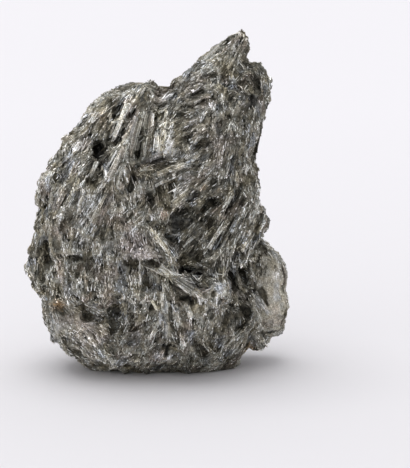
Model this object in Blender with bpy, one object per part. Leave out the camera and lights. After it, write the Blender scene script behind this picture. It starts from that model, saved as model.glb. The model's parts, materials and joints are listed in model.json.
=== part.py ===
"""Stibnite crystal spray: a compact hand specimen, lead-grey blades grown together in one mass.

The mass is one closed solid. A shaped lump carries the outline, the swells and hollows; long
flattened crystals and the paler rear lobe are fused to it; pits, cracks and the flat the specimen
rests on are cut out of it.

Points on the specimen are given in millimetres on its broad face: x to the right, d into the
specimen and v up the face, held in that order in a Vector. The face leans back by FACE_LEAN, and
the part's own frame is in metres, +Z up, with the broad face towards -Y and the origin at the
middle of the foot.
"""
import math
import random

import bmesh
import bpy
from mathutils import Matrix, Vector, noise
from mathutils.bvhtree import BVHTree

MM = 0.001

# ---------------------------------------------------------------- driving dimensions, millimetres
FACE_LEAN = math.radians(12.0)   # how far the broad face leans back
UPRIGHT = 0.19                   # how far the middle comes forward for each millimetre of height
FRONT_DEPTH = 27.0               # from the rim forward to the fullest part of the face
BACK_DEPTH = 29.0                # from the rim back to the fullest part of the rear
BOXINESS = 2.9                   # 2 is an ellipsoid, more is flatter in the middle
TOP_TAPER = 0.38                 # share of the depth lost at the top, beside the middle
HEART = (0.0, 53.0)              # the point on the face that the outline is drawn about
UPRIGHT_FROM = 10.0              # height at which the middle of the mass is at no depth
FOOT_LEVEL = 0.9                 # height above the foot of the outline at which it is cut flat
RIM_DETAIL = 0.36                # share of the depth over which the outline's small steps fade

LOBE_HEART = (29.5, 29.0)
LOBE_MIDDLE = 9.0                # how far behind the rim of the mass the rear lobe sits
LOBE_FRONT = 13.0
LOBE_BACK = 15.0
NUB = (33.3, 7.0, 11.0, 4.3)     # x, d, v and radius of the small nub below the rear lobe

LUMP_DIVISIONS = 7
LOBE_DIVISIONS = 5
NUB_DIVISIONS = 3
LUMP_KEPT = 0.048                # share of the fine lump's faces that the decimated lump keeps
LOBE_KEPT = 0.12

BLADE_SPACING = 4.4              # the blades that the surface is made of
BLADE_LENGTH = 17.0
SHEAF_STRETCH = 0.72             # 0 makes the sheaves round, nearer 1 makes them long
BEND = 0.5                       # how far the rows of blades bend, in blades
BEND_LENGTH = 14.3
BEND_WIDTH = 10.0
BLADE_STEP = 1.7                 # how far a blade may stand above the next one
BLADE_CREST = 0.8                # how far its crest stands above its edges
RIM_RELIEF = 0.3                 # share of the blades' relief that is kept at the rim
ROUGH_HEIGHT = 0.8
LOBE_ROUGHNESS = 1.8             # the lobe's roughness beside that of the mass
ROUGH_SIZE = 11.0

CRYSTAL_SIDES = 6
CRYSTAL_TIP = 0.45               # width of a crystal's tip beside that of its root
FACE_CRYSTAL_SINK = 0.04         # share of its thickness that its axis lies below the surface
FAN_CRYSTAL_SINK = 0.08
CRYSTAL_GAP = 0.35               # share of its thickness that the surface may fall away below it
PIT_SIDES = 5
PIT_FLOOR = 0.2                  # width of a pit's floor beside that of its mouth

FAN_EVERY = 3                    # one sheaf in so many, on the sides and rear, carries a fan
FAN_CRYSTALS = 3                 # crystals side by side in each fan
FAN_LENGTH = (11.0, 18.0)
FAN_WIDTH = (2.6, 3.8)
FAN_SPREAD = 5.0                 # degrees from one crystal to the next
SEED = 9

# Outline of the broad face, clockwise from the peak: (x, v)
MASS_OUTLINE = [
    (28.2, 114.3), (29.3, 113.2), (31.0, 110.7), (31.0, 107.0), (30.2, 105.6), (31.2, 104.0),
    (34.7, 103.8), (36.7, 101.3), (38.0, 97.7), (38.0, 92.8), (36.7, 88.8), (34.7, 85.5),
    (35.5, 82.7), (34.7, 78.2), (33.0, 71.7), (33.8, 67.7), (34.5, 62.0), (34.7, 57.5),
    (37.0, 53.8), (38.3, 51.0), (35.8, 46.2), (33.0, 41.5), (31.3, 37.5), (31.5, 31.5),
    (33.5, 24.7), (35.4, 20.0), (34.6, 14.5), (32.5, 9.8), (31.3, 7.5), (30.2, 5.5),
    (27.3, 2.2), (23.7, 0.2), (18.3, -0.4), (12.7, -1.2), (6.2, -0.8), (-0.3, -0.8),
    (-5.2, -1.6), (-8.3, -1.2), (-14.0, -0.2), (-19.3, 0.6), (-21.0, 0.0), (-23.8, 0.8), (-26.7, 2.8),
    (-29.2, 5.5), (-32.0, 10.3), (-34.3, 10.3), (-36.0, 12.5), (-36.8, 16.5), (-38.5, 19.3),
    (-38.0, 23.8), (-38.8, 26.2), (-41.3, 27.8), (-43.8, 34.0), (-43.8, 36.8), (-43.0, 40.8),
    (-41.3, 51.3), (-40.5, 55.5), (-41.3, 59.2), (-39.3, 65.3), (-36.3, 69.3), (-34.0, 73.7),
    (-32.3, 77.8), (-30.3, 80.7), (-27.5, 83.0), (-24.7, 86.7), (-21.8, 90.0), (-19.0, 92.8),
    (-15.7, 94.7), (-11.7, 96.3), (-9.2, 97.5), (-2.7, 98.3), (-0.7, 96.8), (2.7, 95.0),
    (4.3, 96.7), (7.0, 99.0), (11.0, 102.7), (16.0, 106.3), (20.7, 110.3), (21.3, 111.5),
]

# Outline of the paler lobe at the rear right: (x, v)
LOBE_OUTLINE = [
    (35.0, 46.6), (37.0, 44.2), (40.3, 41.3), (42.8, 37.7), (44.0, 34.0), (43.6, 28.0),
    (44.0, 20.5), (43.5, 18.2), (42.0, 14.2), (39.2, 12.8), (34.0, 12.0),
    (26.0, 14.0), (19.0, 22.0), (17.0, 31.0), (21.0, 41.0), (28.0, 46.5),
]

# Swells (+) and hollows (-) of the broad face:
# x, v, half-length, half-width, turn of the length in degrees, height, steepness
FACE_FORMS = [
    (-20.0, 66.0, 26.0, 17.0, 65.0, 3.6, 1.0),     # the dome on the left
    (-9.0, 82.0, 14.0, 4.6, 78.0, 2.2, 1.5),       # standing sheaf at the dome's right shoulder
    (1.5, 88.0, 13.0, 4.4, 74.0, -4.6, 1.4),       # valley between the dome and the peak
    (-5.5, 73.0, 6.5, 1.7, 86.0, -3.6, 1.4),       # upright groove beside the fan
    (3.5, 79.0, 8.0, 2.6, 80.0, 2.2, 1.5),         # the fan of blades in the valley
    (22.0, 88.0, 24.0, 12.0, 62.0, 2.6, 1.5),      # face of the peak
    (13.0, 90.5, 9.0, 2.0, 18.0, 1.8, 1.5),        # ledge over the fan
    (34.0, 95.5, 6.0, 3.4, 90.0, 2.4, 1.4),        # lump behind the peak's shoulder
    (33.6, 96.0, 3.2, 1.7, 85.0, -2.6, 1.3),       # its small hollow
    (30.5, 105.0, 3.4, 1.6, 40.0, -2.0, 1.3),      # nick between the peak and the lump
    (12.5, 49.0, 14.0, 9.5, 60.0, -5.2, 1.4),      # dark hollow right of the middle
    (27.0, 50.0, 15.0, 7.0, 66.0, 2.6, 1.4),       # sheaf at the right edge
    (4.0, 68.0, 9.0, 3.0, 12.0, 1.6, 1.5),         # lying blades under the valley
    (-5.0, 41.5, 7.0, 3.0, -4.0, 3.0, 1.8),        # shelf in the middle
    (-2.4, 33.0, 5.0, 3.6, 20.0, -3.4, 1.5),       # hollow under the shelf
    (3.5, 41.0, 9.0, 2.3, -48.0, 3.0, 1.6),        # slanting rib, upper
    (6.4, 30.6, 9.0, 2.5, -30.0, 3.6, 1.6),        # slanting rib, lower
    (12.2, 32.0, 6.0, 2.7, -26.0, -5.5, 1.6),      # cavity right of the ribs
    (20.3, 26.5, 5.6, 5.2, 80.0, 4.4, 1.8),        # pale knob
    (27.5, 31.0, 9.0, 2.6, 108.0, -6.5, 1.5),      # crevice before the rear lobe
    (26.0, 18.5, 6.0, 4.4, 70.0, -4.2, 1.4),       # hollow under the knob
    (-21.0, 28.5, 16.0, 6.5, 4.0, 3.2, 1.7),       # brow over the lower left
    (-19.0, 19.3, 11.5, 3.0, -8.0, -5.4, 1.7),     # undercut below the brow
    (-13.2, 16.5, 3.4, 2.2, 85.0, -3.6, 1.6),      # deepest part of the undercut
    (-28.0, 11.0, 9.0, 7.0, 40.0, 1.8, 1.4),       # lower left lobe
    (-37.5, 40.0, 8.0, 3.0, 95.0, -2.4, 1.4),      # hollow strip at the left edge
    (-37.8, 57.5, 4.5, 2.0, 75.0, -2.0, 1.4),      # nick higher on the left edge
    (3.6, 19.0, 12.0, 3.2, 90.0, 2.0, 1.5),        # upright rib, lower middle
    (10.0, 13.0, 9.0, 4.6, 98.0, 1.6, 1.5),        # lump right of it
    (14.5, 6.8, 4.0, 3.0, 140.0, -2.6, 1.4),       # hollow near the foot
    (-13.0, 6.5, 8.0, 3.4, 5.0, 1.6, 1.4),         # roll above the foot on the left
]

# Swells and hollows of the rear face, in the same way
REAR_FORMS = [
    (-17.0, 62.0, 26.0, 15.0, 108.0, 3.2, 1.2),
    (-3.0, 86.0, 13.0, 4.2, 96.0, -4.2, 1.4),
    (20.0, 88.0, 22.0, 9.0, 66.0, 2.8, 1.5),
    (10.0, 56.0, 15.0, 6.0, 78.0, -3.8, 1.5),
    (24.0, 56.0, 14.0, 6.0, 82.0, 2.4, 1.4),
    (-8.0, 36.0, 14.0, 4.0, 22.0, 3.2, 1.7),
    (-9.0, 27.0, 13.0, 3.2, 16.0, -4.4, 1.7),
    (-30.0, 38.0, 10.0, 4.0, 80.0, -2.8, 1.4),
    (12.0, 22.0, 12.0, 6.0, 60.0, 2.2, 1.4),
    (-22.0, 14.0, 10.0, 6.0, 130.0, 2.0, 1.4),
]

# The sheaves of the broad face: x, v, direction of their blades in degrees from +x
FACE_SHEAVES = [
    (-9.0, 91.0, 68), (-2.5, 81.0, 82), (2.7, 81.0, 76), (-14.0, 70.0, 58), (-17.5, 53.0, 67),
    (-24.0, 53.0, 64), (-32.0, 61.0, 60), (-38.0, 57.0, 72), (-27.0, 81.0, 60), (-20.5, 86.0, 74),
    (-22.5, 71.0, 50), (-40.5, 38.0, 86), (-37.0, 30.0, 100), (-32.0, 35.0, 92), (-24.0, 29.5, 95),
    (-15.5, 29.5, 94), (-19.0, 24.5, 60), (-10.5, 46.5, 95), (-5.5, 53.0, 62), (-7.5, 61.5, 100),
    (-2.5, 58.0, 95), (2.5, 68.0, 14), (2.6, 41.5, 131), (6.0, 30.5, 151), (15.5, 31.0, 168),
    (14.0, 58.0, 43), (12.5, 44.5, 54), (22.5, 46.5, 57), (27.5, 53.0, 64), (31.0, 44.5, 76),
    (35.0, 50.5, 56), (22.5, 36.0, 88), (29.5, 26.5, 128), (33.5, 24.5, 118), (11.0, 99.5, 42),
    (19.0, 108.0, 38), (26.0, 109.5, 60), (28.5, 99.5, 58), (33.0, 99.5, 116), (35.0, 91.0, 80),
    (9.5, 91.0, 28), (9.5, 83.0, 42), (14.5, 76.0, 46), (24.5, 74.5, 80), (31.0, 74.5, 86),
    (31.5, 66.0, 88), (19.5, 84.5, 78), (-2.5, 24.5, 92), (3.6, 19.5, 90), (-0.7, 13.0, 70),
    (-9.0, 11.5, 100), (9.5, 16.5, 102), (17.5, 14.5, 95), (16.0, 9.5, 136), (-12.0, 28.0, 84),
    (-35.5, 18.0, 112), (-27.5, 16.5, 146), (-22.5, 9.5, 122), (-27.0, 6.5, 126), (2.5, 3.0, 90),
    (-9.0, 4.0, 100), (26.0, 8.0, 70),
]

# The sheaves of the rear face
REAR_SHEAVES = [
    (-10.0, 88.0, 100), (-24.0, 74.0, 120), (-34.0, 56.0, 108), (-20.0, 52.0, 98), (-37.0, 36.0, 82),
    (-24.0, 34.0, 70), (-8.0, 64.0, 88), (-2.0, 46.0, 60), (-12.0, 30.0, 24), (-26.0, 15.0, 135),
    (-8.0, 12.0, 96), (8.0, 18.0, 66), (10.0, 36.0, 76), (8.0, 72.0, 84), (20.0, 62.0, 96),
    (30.0, 72.0, 84), (14.0, 92.0, 52), (24.0, 104.0, 44), (32.0, 92.0, 96), (24.0, 40.0, 118),
    (22.0, 14.0, 80), (2.0, 84.0, 70),
]

# The sheaves of the sides, by the direction they face: azimuth from +x towards the rear and
# height angle, both in degrees, and the direction of their blades in degrees from level
SIDE_SHEAVES = [
    (180.0, -35.0, 80), (180.0, -8.0, 96), (180.0, 20.0, 78), (168.0, 46.0, 66), (196.0, 48.0, 60),
    (160.0, -10.0, 88), (200.0, -30.0, 104), (0.0, -34.0, 84), (0.0, -4.0, 76), (0.0, 22.0, 94),
    (22.0, 8.0, 82), (18.0, 38.0, 70), (-20.0, 34.0, 90), (-24.0, -38.0, 72), (70.0, 66.0, 50),
    (250.0, 68.0, 64), (150.0, -52.0, 60), (30.0, -50.0, 70),
]

# Single crystals that stand out on the broad face: x and v of both ends, width, thickness
FACE_CRYSTALS = [
    (-2.8, 47.4, 8.8, 34.0, 3.4, 4.4), (0.4, 46.8, 11.4, 31.0, 2.2, 3.4),
    (-1.4, 35.0, 13.4, 26.4, 3.6, 4.6), (1.0, 31.6, 12.8, 23.4, 2.4, 3.2),
    (6.4, 33.2, 22.8, 29.4, 1.7, 2.6), (-17.6, 72.0, -15.4, 64.6, 1.8, 2.2),
    (-1.8, 71.0, 2.2, 87.6, 2.0, 2.4), (0.8, 71.6, 4.2, 88.0, 1.7, 2.2),
    (3.4, 72.0, 5.2, 85.4, 2.0, 2.4), (6.0, 72.6, 6.6, 83.0, 1.6, 2.0),
    (-13.4, 65.0, -6.8, 93.6, 2.6, 2.6), (-10.8, 63.0, -4.2, 92.0, 2.2, 2.6),
    (-8.4, 66.0, -2.2, 91.0, 2.0, 2.4), (-16.4, 60.6, -10.6, 84.6, 2.4, 2.4),
    (-20.0, 46.6, -14.6, 62.4, 2.8, 2.4), (-22.6, 45.6, -17.6, 60.6, 2.4, 2.2),
    (-25.4, 46.6, -20.4, 60.6, 2.2, 2.2), (-19.8, 70.6, -11.6, 76.6, 2.6, 2.6),
    (-2.2, 10.4, 1.0, 19.0, 1.5, 2.0), (-4.8, 66.8, 9.6, 71.6, 2.2, 2.0),
    (-2.6, 64.8, 8.4, 67.6, 1.9, 1.8), (15.8, 39.0, 24.0, 54.0, 2.2, 2.2),
    (19.0, 36.6, 28.0, 56.6, 2.4, 2.2), (23.6, 37.0, 30.6, 58.4, 2.2, 2.2),
    (27.6, 41.0, 35.0, 57.0, 2.4, 2.2), (31.0, 44.0, 36.6, 54.2, 2.2, 2.0),
    (26.8, 30.6, 32.6, 22.6, 1.6, 2.0), (29.4, 29.6, 34.2, 21.6, 1.5, 2.0),
    (3.0, 13.6, 3.4, 30.6, 2.6, 2.4), (-5.2, 24.0, -4.6, 38.0, 2.2, 2.0),
    (6.6, 12.6, 7.0, 25.6, 2.2, 2.2), (6.4, 93.6, 19.6, 107.6, 3.2, 2.2),
    (11.6, 95.6, 25.6, 111.0, 3.2, 2.2), (27.6, 96.6, 31.4, 103.2, 1.6, 1.8),
    (5.4, 88.6, 15.6, 93.4, 2.4, 2.2), (-30.4, 60.4, -26.4, 70.4, 2.2, 2.0),
    (-34.6, 46.4, -33.6, 60.4, 3.0, 2.0), (-34.0, 22.4, -35.4, 36.6, 2.4, 2.2),
    (-27.6, 22.0, -27.0, 33.6, 2.2, 2.2), (-17.4, 22.6, -12.4, 31.6, 2.2, 2.4),
    (-30.6, 19.4, -22.0, 14.0, 2.2, 2.0), (9.6, 8.6, 7.8, 18.6, 2.2, 2.0),
    (14.4, 10.8, 18.4, 6.8, 1.7, 2.0), (-8.8, 14.0, -10.8, 24.6, 2.0, 2.0),
]

# Pits and cracks: x, v, half-length, half-width, turn in degrees, depth below the face
PITS = [
    (-18.9, 74.4, 3.4, 1.9, 62.0, 8.0),       # the dark pit in the dome
    (-21.8, 68.4, 4.2, 0.8, 60.0, 5.0),       # crack that runs down from it
    (-13.4, 76.8, 1.9, 0.7, 74.0, 4.5),       # gap beside the tall sheaf
    (-13.8, 87.0, 3.6, 0.8, 100.0, 3.8),      # groove near the top of the dome
    (-5.7, 73.4, 4.4, 0.8, 87.0, 4.5),        # upright groove
    (12.2, 32.2, 4.2, 2.0, -24.0, 7.0),       # cavity beside the slanting ribs
    (10.2, 25.8, 2.8, 1.0, -6.0, 5.0),        # slot below the lower rib
    (29.6, 32.4, 6.4, 1.6, 112.0, 9.0),       # crevice before the rear lobe
    (-22.6, 19.4, 2.8, 1.5, -4.0, 5.0),       # undercut, left
    (-13.8, 17.6, 3.8, 1.9, 88.0, 6.0),       # undercut, right
    (26.6, 18.6, 4.0, 2.2, 60.0, 4.5),        # hollow under the knob
    (33.8, 96.0, 2.2, 1.2, 85.0, 3.0),        # hollow of the lump at the shoulder
]


# ------------------------------------------------------------------------------ frame and helpers
FACE_TO_PART = Matrix.Rotation(-FACE_LEAN, 3, "X") @ Matrix.Scale(MM, 3)
INTO_FACE = (FACE_TO_PART @ Vector((0.0, 1.0, 0.0))).normalized()


def face_direction(degrees):
    """A direction along the face, in degrees from +x, as a unit vector on the face."""
    turn = math.radians(degrees)
    return Vector((math.cos(turn), 0.0, math.sin(turn)))


def middle_depth(v):
    """Depth of the middle of the mass, so that it stands upright though its face leans."""
    return UPRIGHT * (UPRIGHT_FROM - v)


class Reach:
    """How far an outline reaches from its heart at an angle, as drawn and softened."""

    STEPS = 1440

    def __init__(self, outline, heart):
        polar = sorted(
            (math.atan2(v - heart[1], x - heart[0]), math.hypot(x - heart[0], v - heart[1]))
            for x, v in outline
        )
        polar.insert(0, (polar[-1][0] - math.tau, polar[-1][1]))
        polar.append((polar[1][0] + math.tau, polar[1][1]))
        self.drawn = [self.between(polar, self.angle_of(step)) for step in range(self.STEPS)]
        spread = self.STEPS // 12
        ring = self.drawn[-spread:] + self.drawn + self.drawn[:spread]
        self.soft = [
            sum(ring[step:step + 2 * spread + 1]) / (2 * spread + 1) for step in range(self.STEPS)
        ]

    def angle_of(self, step):
        return math.tau * step / self.STEPS - math.pi

    @staticmethod
    def between(polar, angle):
        for (angle_a, reach_a), (angle_b, reach_b) in zip(polar, polar[1:]):
            if angle <= angle_b:
                share = (angle - angle_a) / max(angle_b - angle_a, 1e-9)
                return reach_a + (reach_b - reach_a) * share
        return polar[-1][1]

    def at(self, angle, fullness):
        """The reach for a point at a share of the full depth: steps show only near the rim."""
        place = (angle + math.pi) / math.tau * self.STEPS
        step = math.floor(place)
        share = place - step
        this = step % self.STEPS
        following = (step + 1) % self.STEPS
        drawn = self.drawn[this] * (1.0 - share) + self.drawn[following] * share
        detail = math.exp(-(fullness / RIM_DETAIL) ** 2)
        return min(self.soft[this], drawn) * (1.0 - detail) + drawn * detail


def form_height(x, v, forms):
    """Height of all the swells and hollows at a point of the face."""
    total = 0.0
    for form_x, form_v, half_length, half_width, degrees, height, steepness in forms:
        turn = math.radians(degrees)
        along = (x - form_x) * math.cos(turn) + (v - form_v) * math.sin(turn)
        across = (v - form_v) * math.cos(turn) - (x - form_x) * math.sin(turn)
        spread = (along / half_length) ** 2 + (across / half_width) ** 2
        total += height * math.exp(-spread ** steepness)
    return total


def roughness(point, seed):
    """Low uneven height all over the surface."""
    place = point / ROUGH_SIZE + Vector((seed, 0.0, 0.0))
    return ROUGH_HEIGHT * noise.fractal(place, 0.8, 2.1, 3)


# ------------------------------------------------------------------------------ the main mass
def boxed(ray):
    """Share of the way out to the rim, and of the depth, for a direction from the heart."""
    flat = math.hypot(ray.x, ray.z)
    scale = (flat ** BOXINESS + abs(ray.y) ** BOXINESS) ** (-1.0 / BOXINESS)
    return flat * scale, abs(ray.y) * scale


MASS_REACH = Reach(MASS_OUTLINE, HEART)
LOBE_REACH = Reach(LOBE_OUTLINE, LOBE_HEART)


def full_depth(ray, v):
    above = max(0.0, (v - HEART[1]) / HEART[1])
    return (BACK_DEPTH if ray.y > 0.0 else FRONT_DEPTH) * (1.0 - TOP_TAPER * above * above)


def mass_base(ray):
    """The mass before its relief: its point in a direction from its heart."""
    outward, fullness = boxed(ray)
    angle = math.atan2(ray.z, ray.x)
    distance = outward * MASS_REACH.at(angle, fullness)
    x = HEART[0] + distance * math.cos(angle)
    v = HEART[1] + distance * math.sin(angle)
    depth = full_depth(ray, v) * fullness
    return Vector((x, middle_depth(v) + math.copysign(depth, ray.y), v))


def mass_outward(ray, v):
    """The direction that the surface of the mass faces, before its relief."""
    outward, fullness = boxed(ray)
    angle = math.atan2(ray.z, ray.x)
    rim = outward ** (BOXINESS - 1.0) / MASS_REACH.at(angle, 1.0)
    face = fullness ** (BOXINESS - 1.0) / full_depth(ray, v)
    normal = Vector((rim * math.cos(angle), math.copysign(face, ray.y), rim * math.sin(angle)))
    return normal.normalized()


def ray_to(x, v, towards):
    """The direction from the heart to the point of the face (-1) or the rear (1) at x, v."""
    angle = math.atan2(v - HEART[1], x - HEART[0])
    distance = math.hypot(v - HEART[1], x - HEART[0])
    outward = min(0.99, distance / MASS_REACH.at(angle, 1.0))
    fullness = (1.0 - outward ** BOXINESS) ** (1.0 / BOXINESS)
    ray = Vector((outward * math.cos(angle), towards * fullness, outward * math.sin(angle)))
    return ray.normalized()


class Sheaf:
    """A bundle of blades: where it sits on the mass, and the directions along and across it."""

    def __init__(self, index, ray, degrees):
        self.index = index
        self.centre = mass_base(ray)
        self.outward = mass_outward(ray, self.centre.z)
        flat = face_direction(degrees)
        self.along = (flat - self.outward * flat.dot(self.outward)).normalized()
        self.across = self.outward.cross(self.along).normalized()

    def gap(self, point):
        """Distance to a point, with the length of the sheaf counting for less than its width."""
        offset = point - self.centre
        along = offset.dot(self.along)
        return math.sqrt(max(offset.length_squared - SHEAF_STRETCH * along * along, 0.0))

    def relief(self, point):
        """Height of its blades: long roofs side by side, each at its own level."""
        offset = point - self.centre
        along = offset.dot(self.along)
        across = offset.dot(self.across)
        place = Vector((along / BEND_LENGTH, across / BEND_WIDTH, self.index * 2.3))
        row = across / BLADE_SPACING + BEND * noise.noise(place)
        row_index = math.floor(row)
        row_chance = noise.cell(Vector((row_index + 0.5, self.index + 0.5, 0.5)))
        run = along / BLADE_LENGTH + 5.0 * row_chance
        run_index = math.floor(run)
        level = noise.cell(Vector((row_index + 0.5, run_index + 0.5, self.index + 0.5)))
        slant = (run - run_index - 0.5) * (row_chance - 0.5)
        crest = 1.0 - abs(2.0 * (row - row_index) - 1.0)
        return BLADE_STEP * (level - 0.5 + slant) + BLADE_CREST * (crest - 0.5)


def all_sheaves():
    places = [(ray_to(x, v, -1.0), degrees) for x, v, degrees in FACE_SHEAVES]
    places += [(ray_to(x, v, 1.0), degrees) for x, v, degrees in REAR_SHEAVES]
    for azimuth, height, degrees in SIDE_SHEAVES:
        turn = math.radians(azimuth)
        level = math.cos(math.radians(height))
        ray = Vector((level * math.cos(turn), level * math.sin(turn), math.sin(math.radians(height))))
        places.append((ray, degrees))
    return [Sheaf(index, ray, degrees) for index, (ray, degrees) in enumerate(places)]


def mass_point(ray, sheaves):
    """The surface of the mass in a direction from its heart, with its relief."""
    point = mass_base(ray)
    _, fullness = boxed(ray)
    away_from_rim = min(1.0, fullness / 0.5)
    forms = REAR_FORMS if ray.y > 0.0 else FACE_FORMS
    swell = away_from_rim * form_height(point.x, point.z, forms)
    nearest = min(sheaves, key=lambda sheaf: sheaf.gap(point))
    blades = (RIM_RELIEF + (1.0 - RIM_RELIEF) * away_from_rim) * nearest.relief(point)
    height = swell + blades + away_from_rim * roughness(point, 0.0)
    return point + mass_outward(ray, point.z) * height


# ------------------------------------------------------------------------------ lobe and nub
def lobe_point(ray):
    outward, fullness = boxed(ray)
    angle = math.atan2(ray.z, ray.x)
    distance = outward * LOBE_REACH.at(angle, fullness)
    x = LOBE_HEART[0] + distance * math.cos(angle)
    v = LOBE_HEART[1] + distance * math.sin(angle)
    depth = (LOBE_BACK if ray.y > 0.0 else LOBE_FRONT) * fullness
    point = Vector((x, middle_depth(v) + LOBE_MIDDLE + math.copysign(depth, ray.y), v))
    return point + ray * (LOBE_ROUGHNESS * fullness * roughness(point, 7.0))


def nub_point(ray):
    x, d, v, radius = NUB
    wide = radius * (1.0 + 0.3 * noise.noise(ray * 1.7))
    return Vector((x, middle_depth(v) + d, v)) + Vector((ray.x, 1.6 * ray.y, 0.9 * ray.z)) * wide


# ------------------------------------------------------------------------------ Blender objects
def clear_scene():
    for item in list(bpy.data.objects):
        bpy.data.objects.remove(item, do_unlink=True)


def new_collection(name):
    collection = bpy.data.collections.new(name)
    bpy.context.scene.collection.children.link(collection)
    return collection


def stibnite_material():
    material = bpy.data.materials.new("stibnite_lead_grey")
    material.use_nodes = True
    shader = material.node_tree.nodes["Principled BSDF"]
    shader.inputs["Base Color"].default_value = (0.20, 0.195, 0.18, 1.0)
    shader.inputs["Metallic"].default_value = 0.55
    shader.inputs["Roughness"].default_value = 0.5
    return material


def add_object(name, mesh, collection, helper=True):
    """An object for a mesh. A helper is joined to the mass or cut from it, and not shown."""
    item = bpy.data.objects.new(name, mesh)
    collection.objects.link(item)
    if helper:
        item.hide_render = True
        item.display_type = "WIRE"
    return item


def finish_mesh(name, shape):
    bmesh.ops.recalc_face_normals(shape, faces=shape.faces)
    mesh = bpy.data.meshes.new(name)
    shape.to_mesh(mesh)
    shape.free()
    return mesh


def ball_mesh(name, divisions, place):
    """A fine ball, each of whose points is moved to its place on a lump."""
    shape = bmesh.new()
    bmesh.ops.create_icosphere(shape, subdivisions=divisions, radius=1.0)
    for vertex in shape.verts:
        vertex.co = FACE_TO_PART @ place(vertex.co.normalized())
    return finish_mesh(name, shape)


def prism_mesh(name, sides, ends, place):
    """A tapered prism of unit length and given end widths, set in place by a matrix."""
    shape = bmesh.new()
    bmesh.ops.create_cone(
        shape, cap_ends=True, segments=sides, radius1=ends[0], radius2=ends[1], depth=1.0
    )
    bmesh.ops.transform(shape, matrix=place, verts=shape.verts)
    return finish_mesh(name, shape)


def placed(x_axis, y_axis, z_axis, centre):
    frame = Matrix((x_axis, y_axis, z_axis)).transposed().to_4x4()
    return Matrix.Translation(centre) @ frame


# ------------------------------------------------------------------------------ crystals and pits
def add_crystal(name, start, end, outward, width, thickness, collection):
    """A flattened six-sided crystal from one point to another, narrower at its tip."""
    along = end - start
    across = along.cross(outward).normalized()
    upward = across.cross(along).normalized()
    place = placed(across * width * MM, upward * thickness * MM, along, (start + end) / 2.0)
    mesh = prism_mesh(name, CRYSTAL_SIDES, (0.5, 0.5 * CRYSTAL_TIP), place)
    add_object(name, mesh, collection)


def face_point(tree, x, v):
    """The point of the broad face at x, v."""
    start = FACE_TO_PART @ Vector((x, -200.0, v))
    return tree.ray_cast(start, INTO_FACE)[0]


def add_face_crystals(tree, collection):
    for index, (x_a, v_a, x_b, v_b, width, thickness) in enumerate(FACE_CRYSTALS):
        start = face_point(tree, x_a, v_a)
        end = face_point(tree, x_b, v_b)
        sunk = INTO_FACE * (FACE_CRYSTAL_SINK * thickness * MM)
        add_crystal(
            f"face_crystal_{index:02d}", start + sunk, end + sunk, -INTO_FACE, width, thickness,
            collection,
        )


def add_fans(tree, sheaves, collection):
    """Crystals side by side on the sheaves of the sides and rear."""
    rng = random.Random(SEED)
    for sheaf in sheaves[len(FACE_SHEAVES)::FAN_EVERY]:
        for place in range(FAN_CRYSTALS):
            beside = place - (FAN_CRYSTALS - 1) / 2.0
            width = rng.uniform(*FAN_WIDTH)
            thickness = width * rng.uniform(0.75, 0.95)
            length = rng.uniform(*FAN_LENGTH)
            slide = rng.uniform(-3.0, 3.0)
            swing = Matrix.Rotation(math.radians(-FAN_SPREAD * beside), 3, sheaf.outward)
            along = (swing @ sheaf.along) * (length / 2.0)
            spot = sheaf.centre + sheaf.across * (beside * FAN_WIDTH[0]) + sheaf.along * slide
            outward = (FACE_TO_PART @ sheaf.outward).normalized()
            hits = []
            for point in (spot - along, spot, spot + along):
                ray_start = FACE_TO_PART @ (point + sheaf.outward * 30.0)
                hit = tree.ray_cast(ray_start, -outward)[0]
                if hit is not None:
                    hits.append(hit - outward * (FAN_CRYSTAL_SINK * thickness * MM))
            if len(hits) < 3:
                continue
            gap = ((hits[0] + hits[2]) / 2.0 - hits[1]).dot(outward)
            if gap < CRYSTAL_GAP * thickness * MM:
                name = f"fan_crystal_{sheaf.index:02d}_{place}"
                add_crystal(name, hits[0], hits[2], outward, width, thickness, collection)


def add_pits(tree, collection):
    """Tapered cutters that sink the pits and cracks into the face."""
    for index, (x, v, half_length, half_width, degrees, depth) in enumerate(PITS):
        along = (FACE_TO_PART @ face_direction(degrees)) * half_length
        across = along.cross(INTO_FACE).normalized() * half_width * MM
        place = placed(along, across, -INTO_FACE * (2.0 * depth * MM), face_point(tree, x, v))
        mesh = prism_mesh(f"pit_{index:02d}", PIT_SIDES, (PIT_FLOOR, 2.0 - PIT_FLOOR), place)
        add_object(mesh.name, mesh, collection)


def add_foot_cutter(collection, level):
    """A slab that cuts the underside off flat."""
    shape = bmesh.new()
    bmesh.ops.create_cube(shape, size=1.0)
    size = (200.0 * MM, 200.0 * MM, 30.0 * MM)
    place = Matrix.Translation((0.0, 0.0, level - size[2] / 2.0)) @ Matrix.Diagonal((*size, 1.0))
    bmesh.ops.transform(shape, matrix=place, verts=shape.verts)
    add_object("foot_cutter", finish_mesh("foot_cutter", shape), collection)


# ------------------------------------------------------------------------------ modifiers
def decimate(item, share):
    modifier = item.modifiers.new("fewer_faces", "DECIMATE")
    modifier.decimate_type = "COLLAPSE"
    modifier.ratio = share


def join_or_cut(item, name, operation, collection):
    modifier = item.modifiers.new(name, "BOOLEAN")
    modifier.operation = operation
    modifier.operand_type = "COLLECTION"
    modifier.collection = collection
    modifier.solver = "EXACT"


def evaluated_corners(item):
    evaluated = item.evaluated_get(bpy.context.evaluated_depsgraph_get())
    mesh = evaluated.to_mesh()
    points = [item.matrix_world @ vertex.co for vertex in mesh.vertices]
    evaluated.to_mesh_clear()
    low = Vector(min(point[axis] for point in points) for axis in range(3))
    high = Vector(max(point[axis] for point in points) for axis in range(3))
    return low, high


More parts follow.
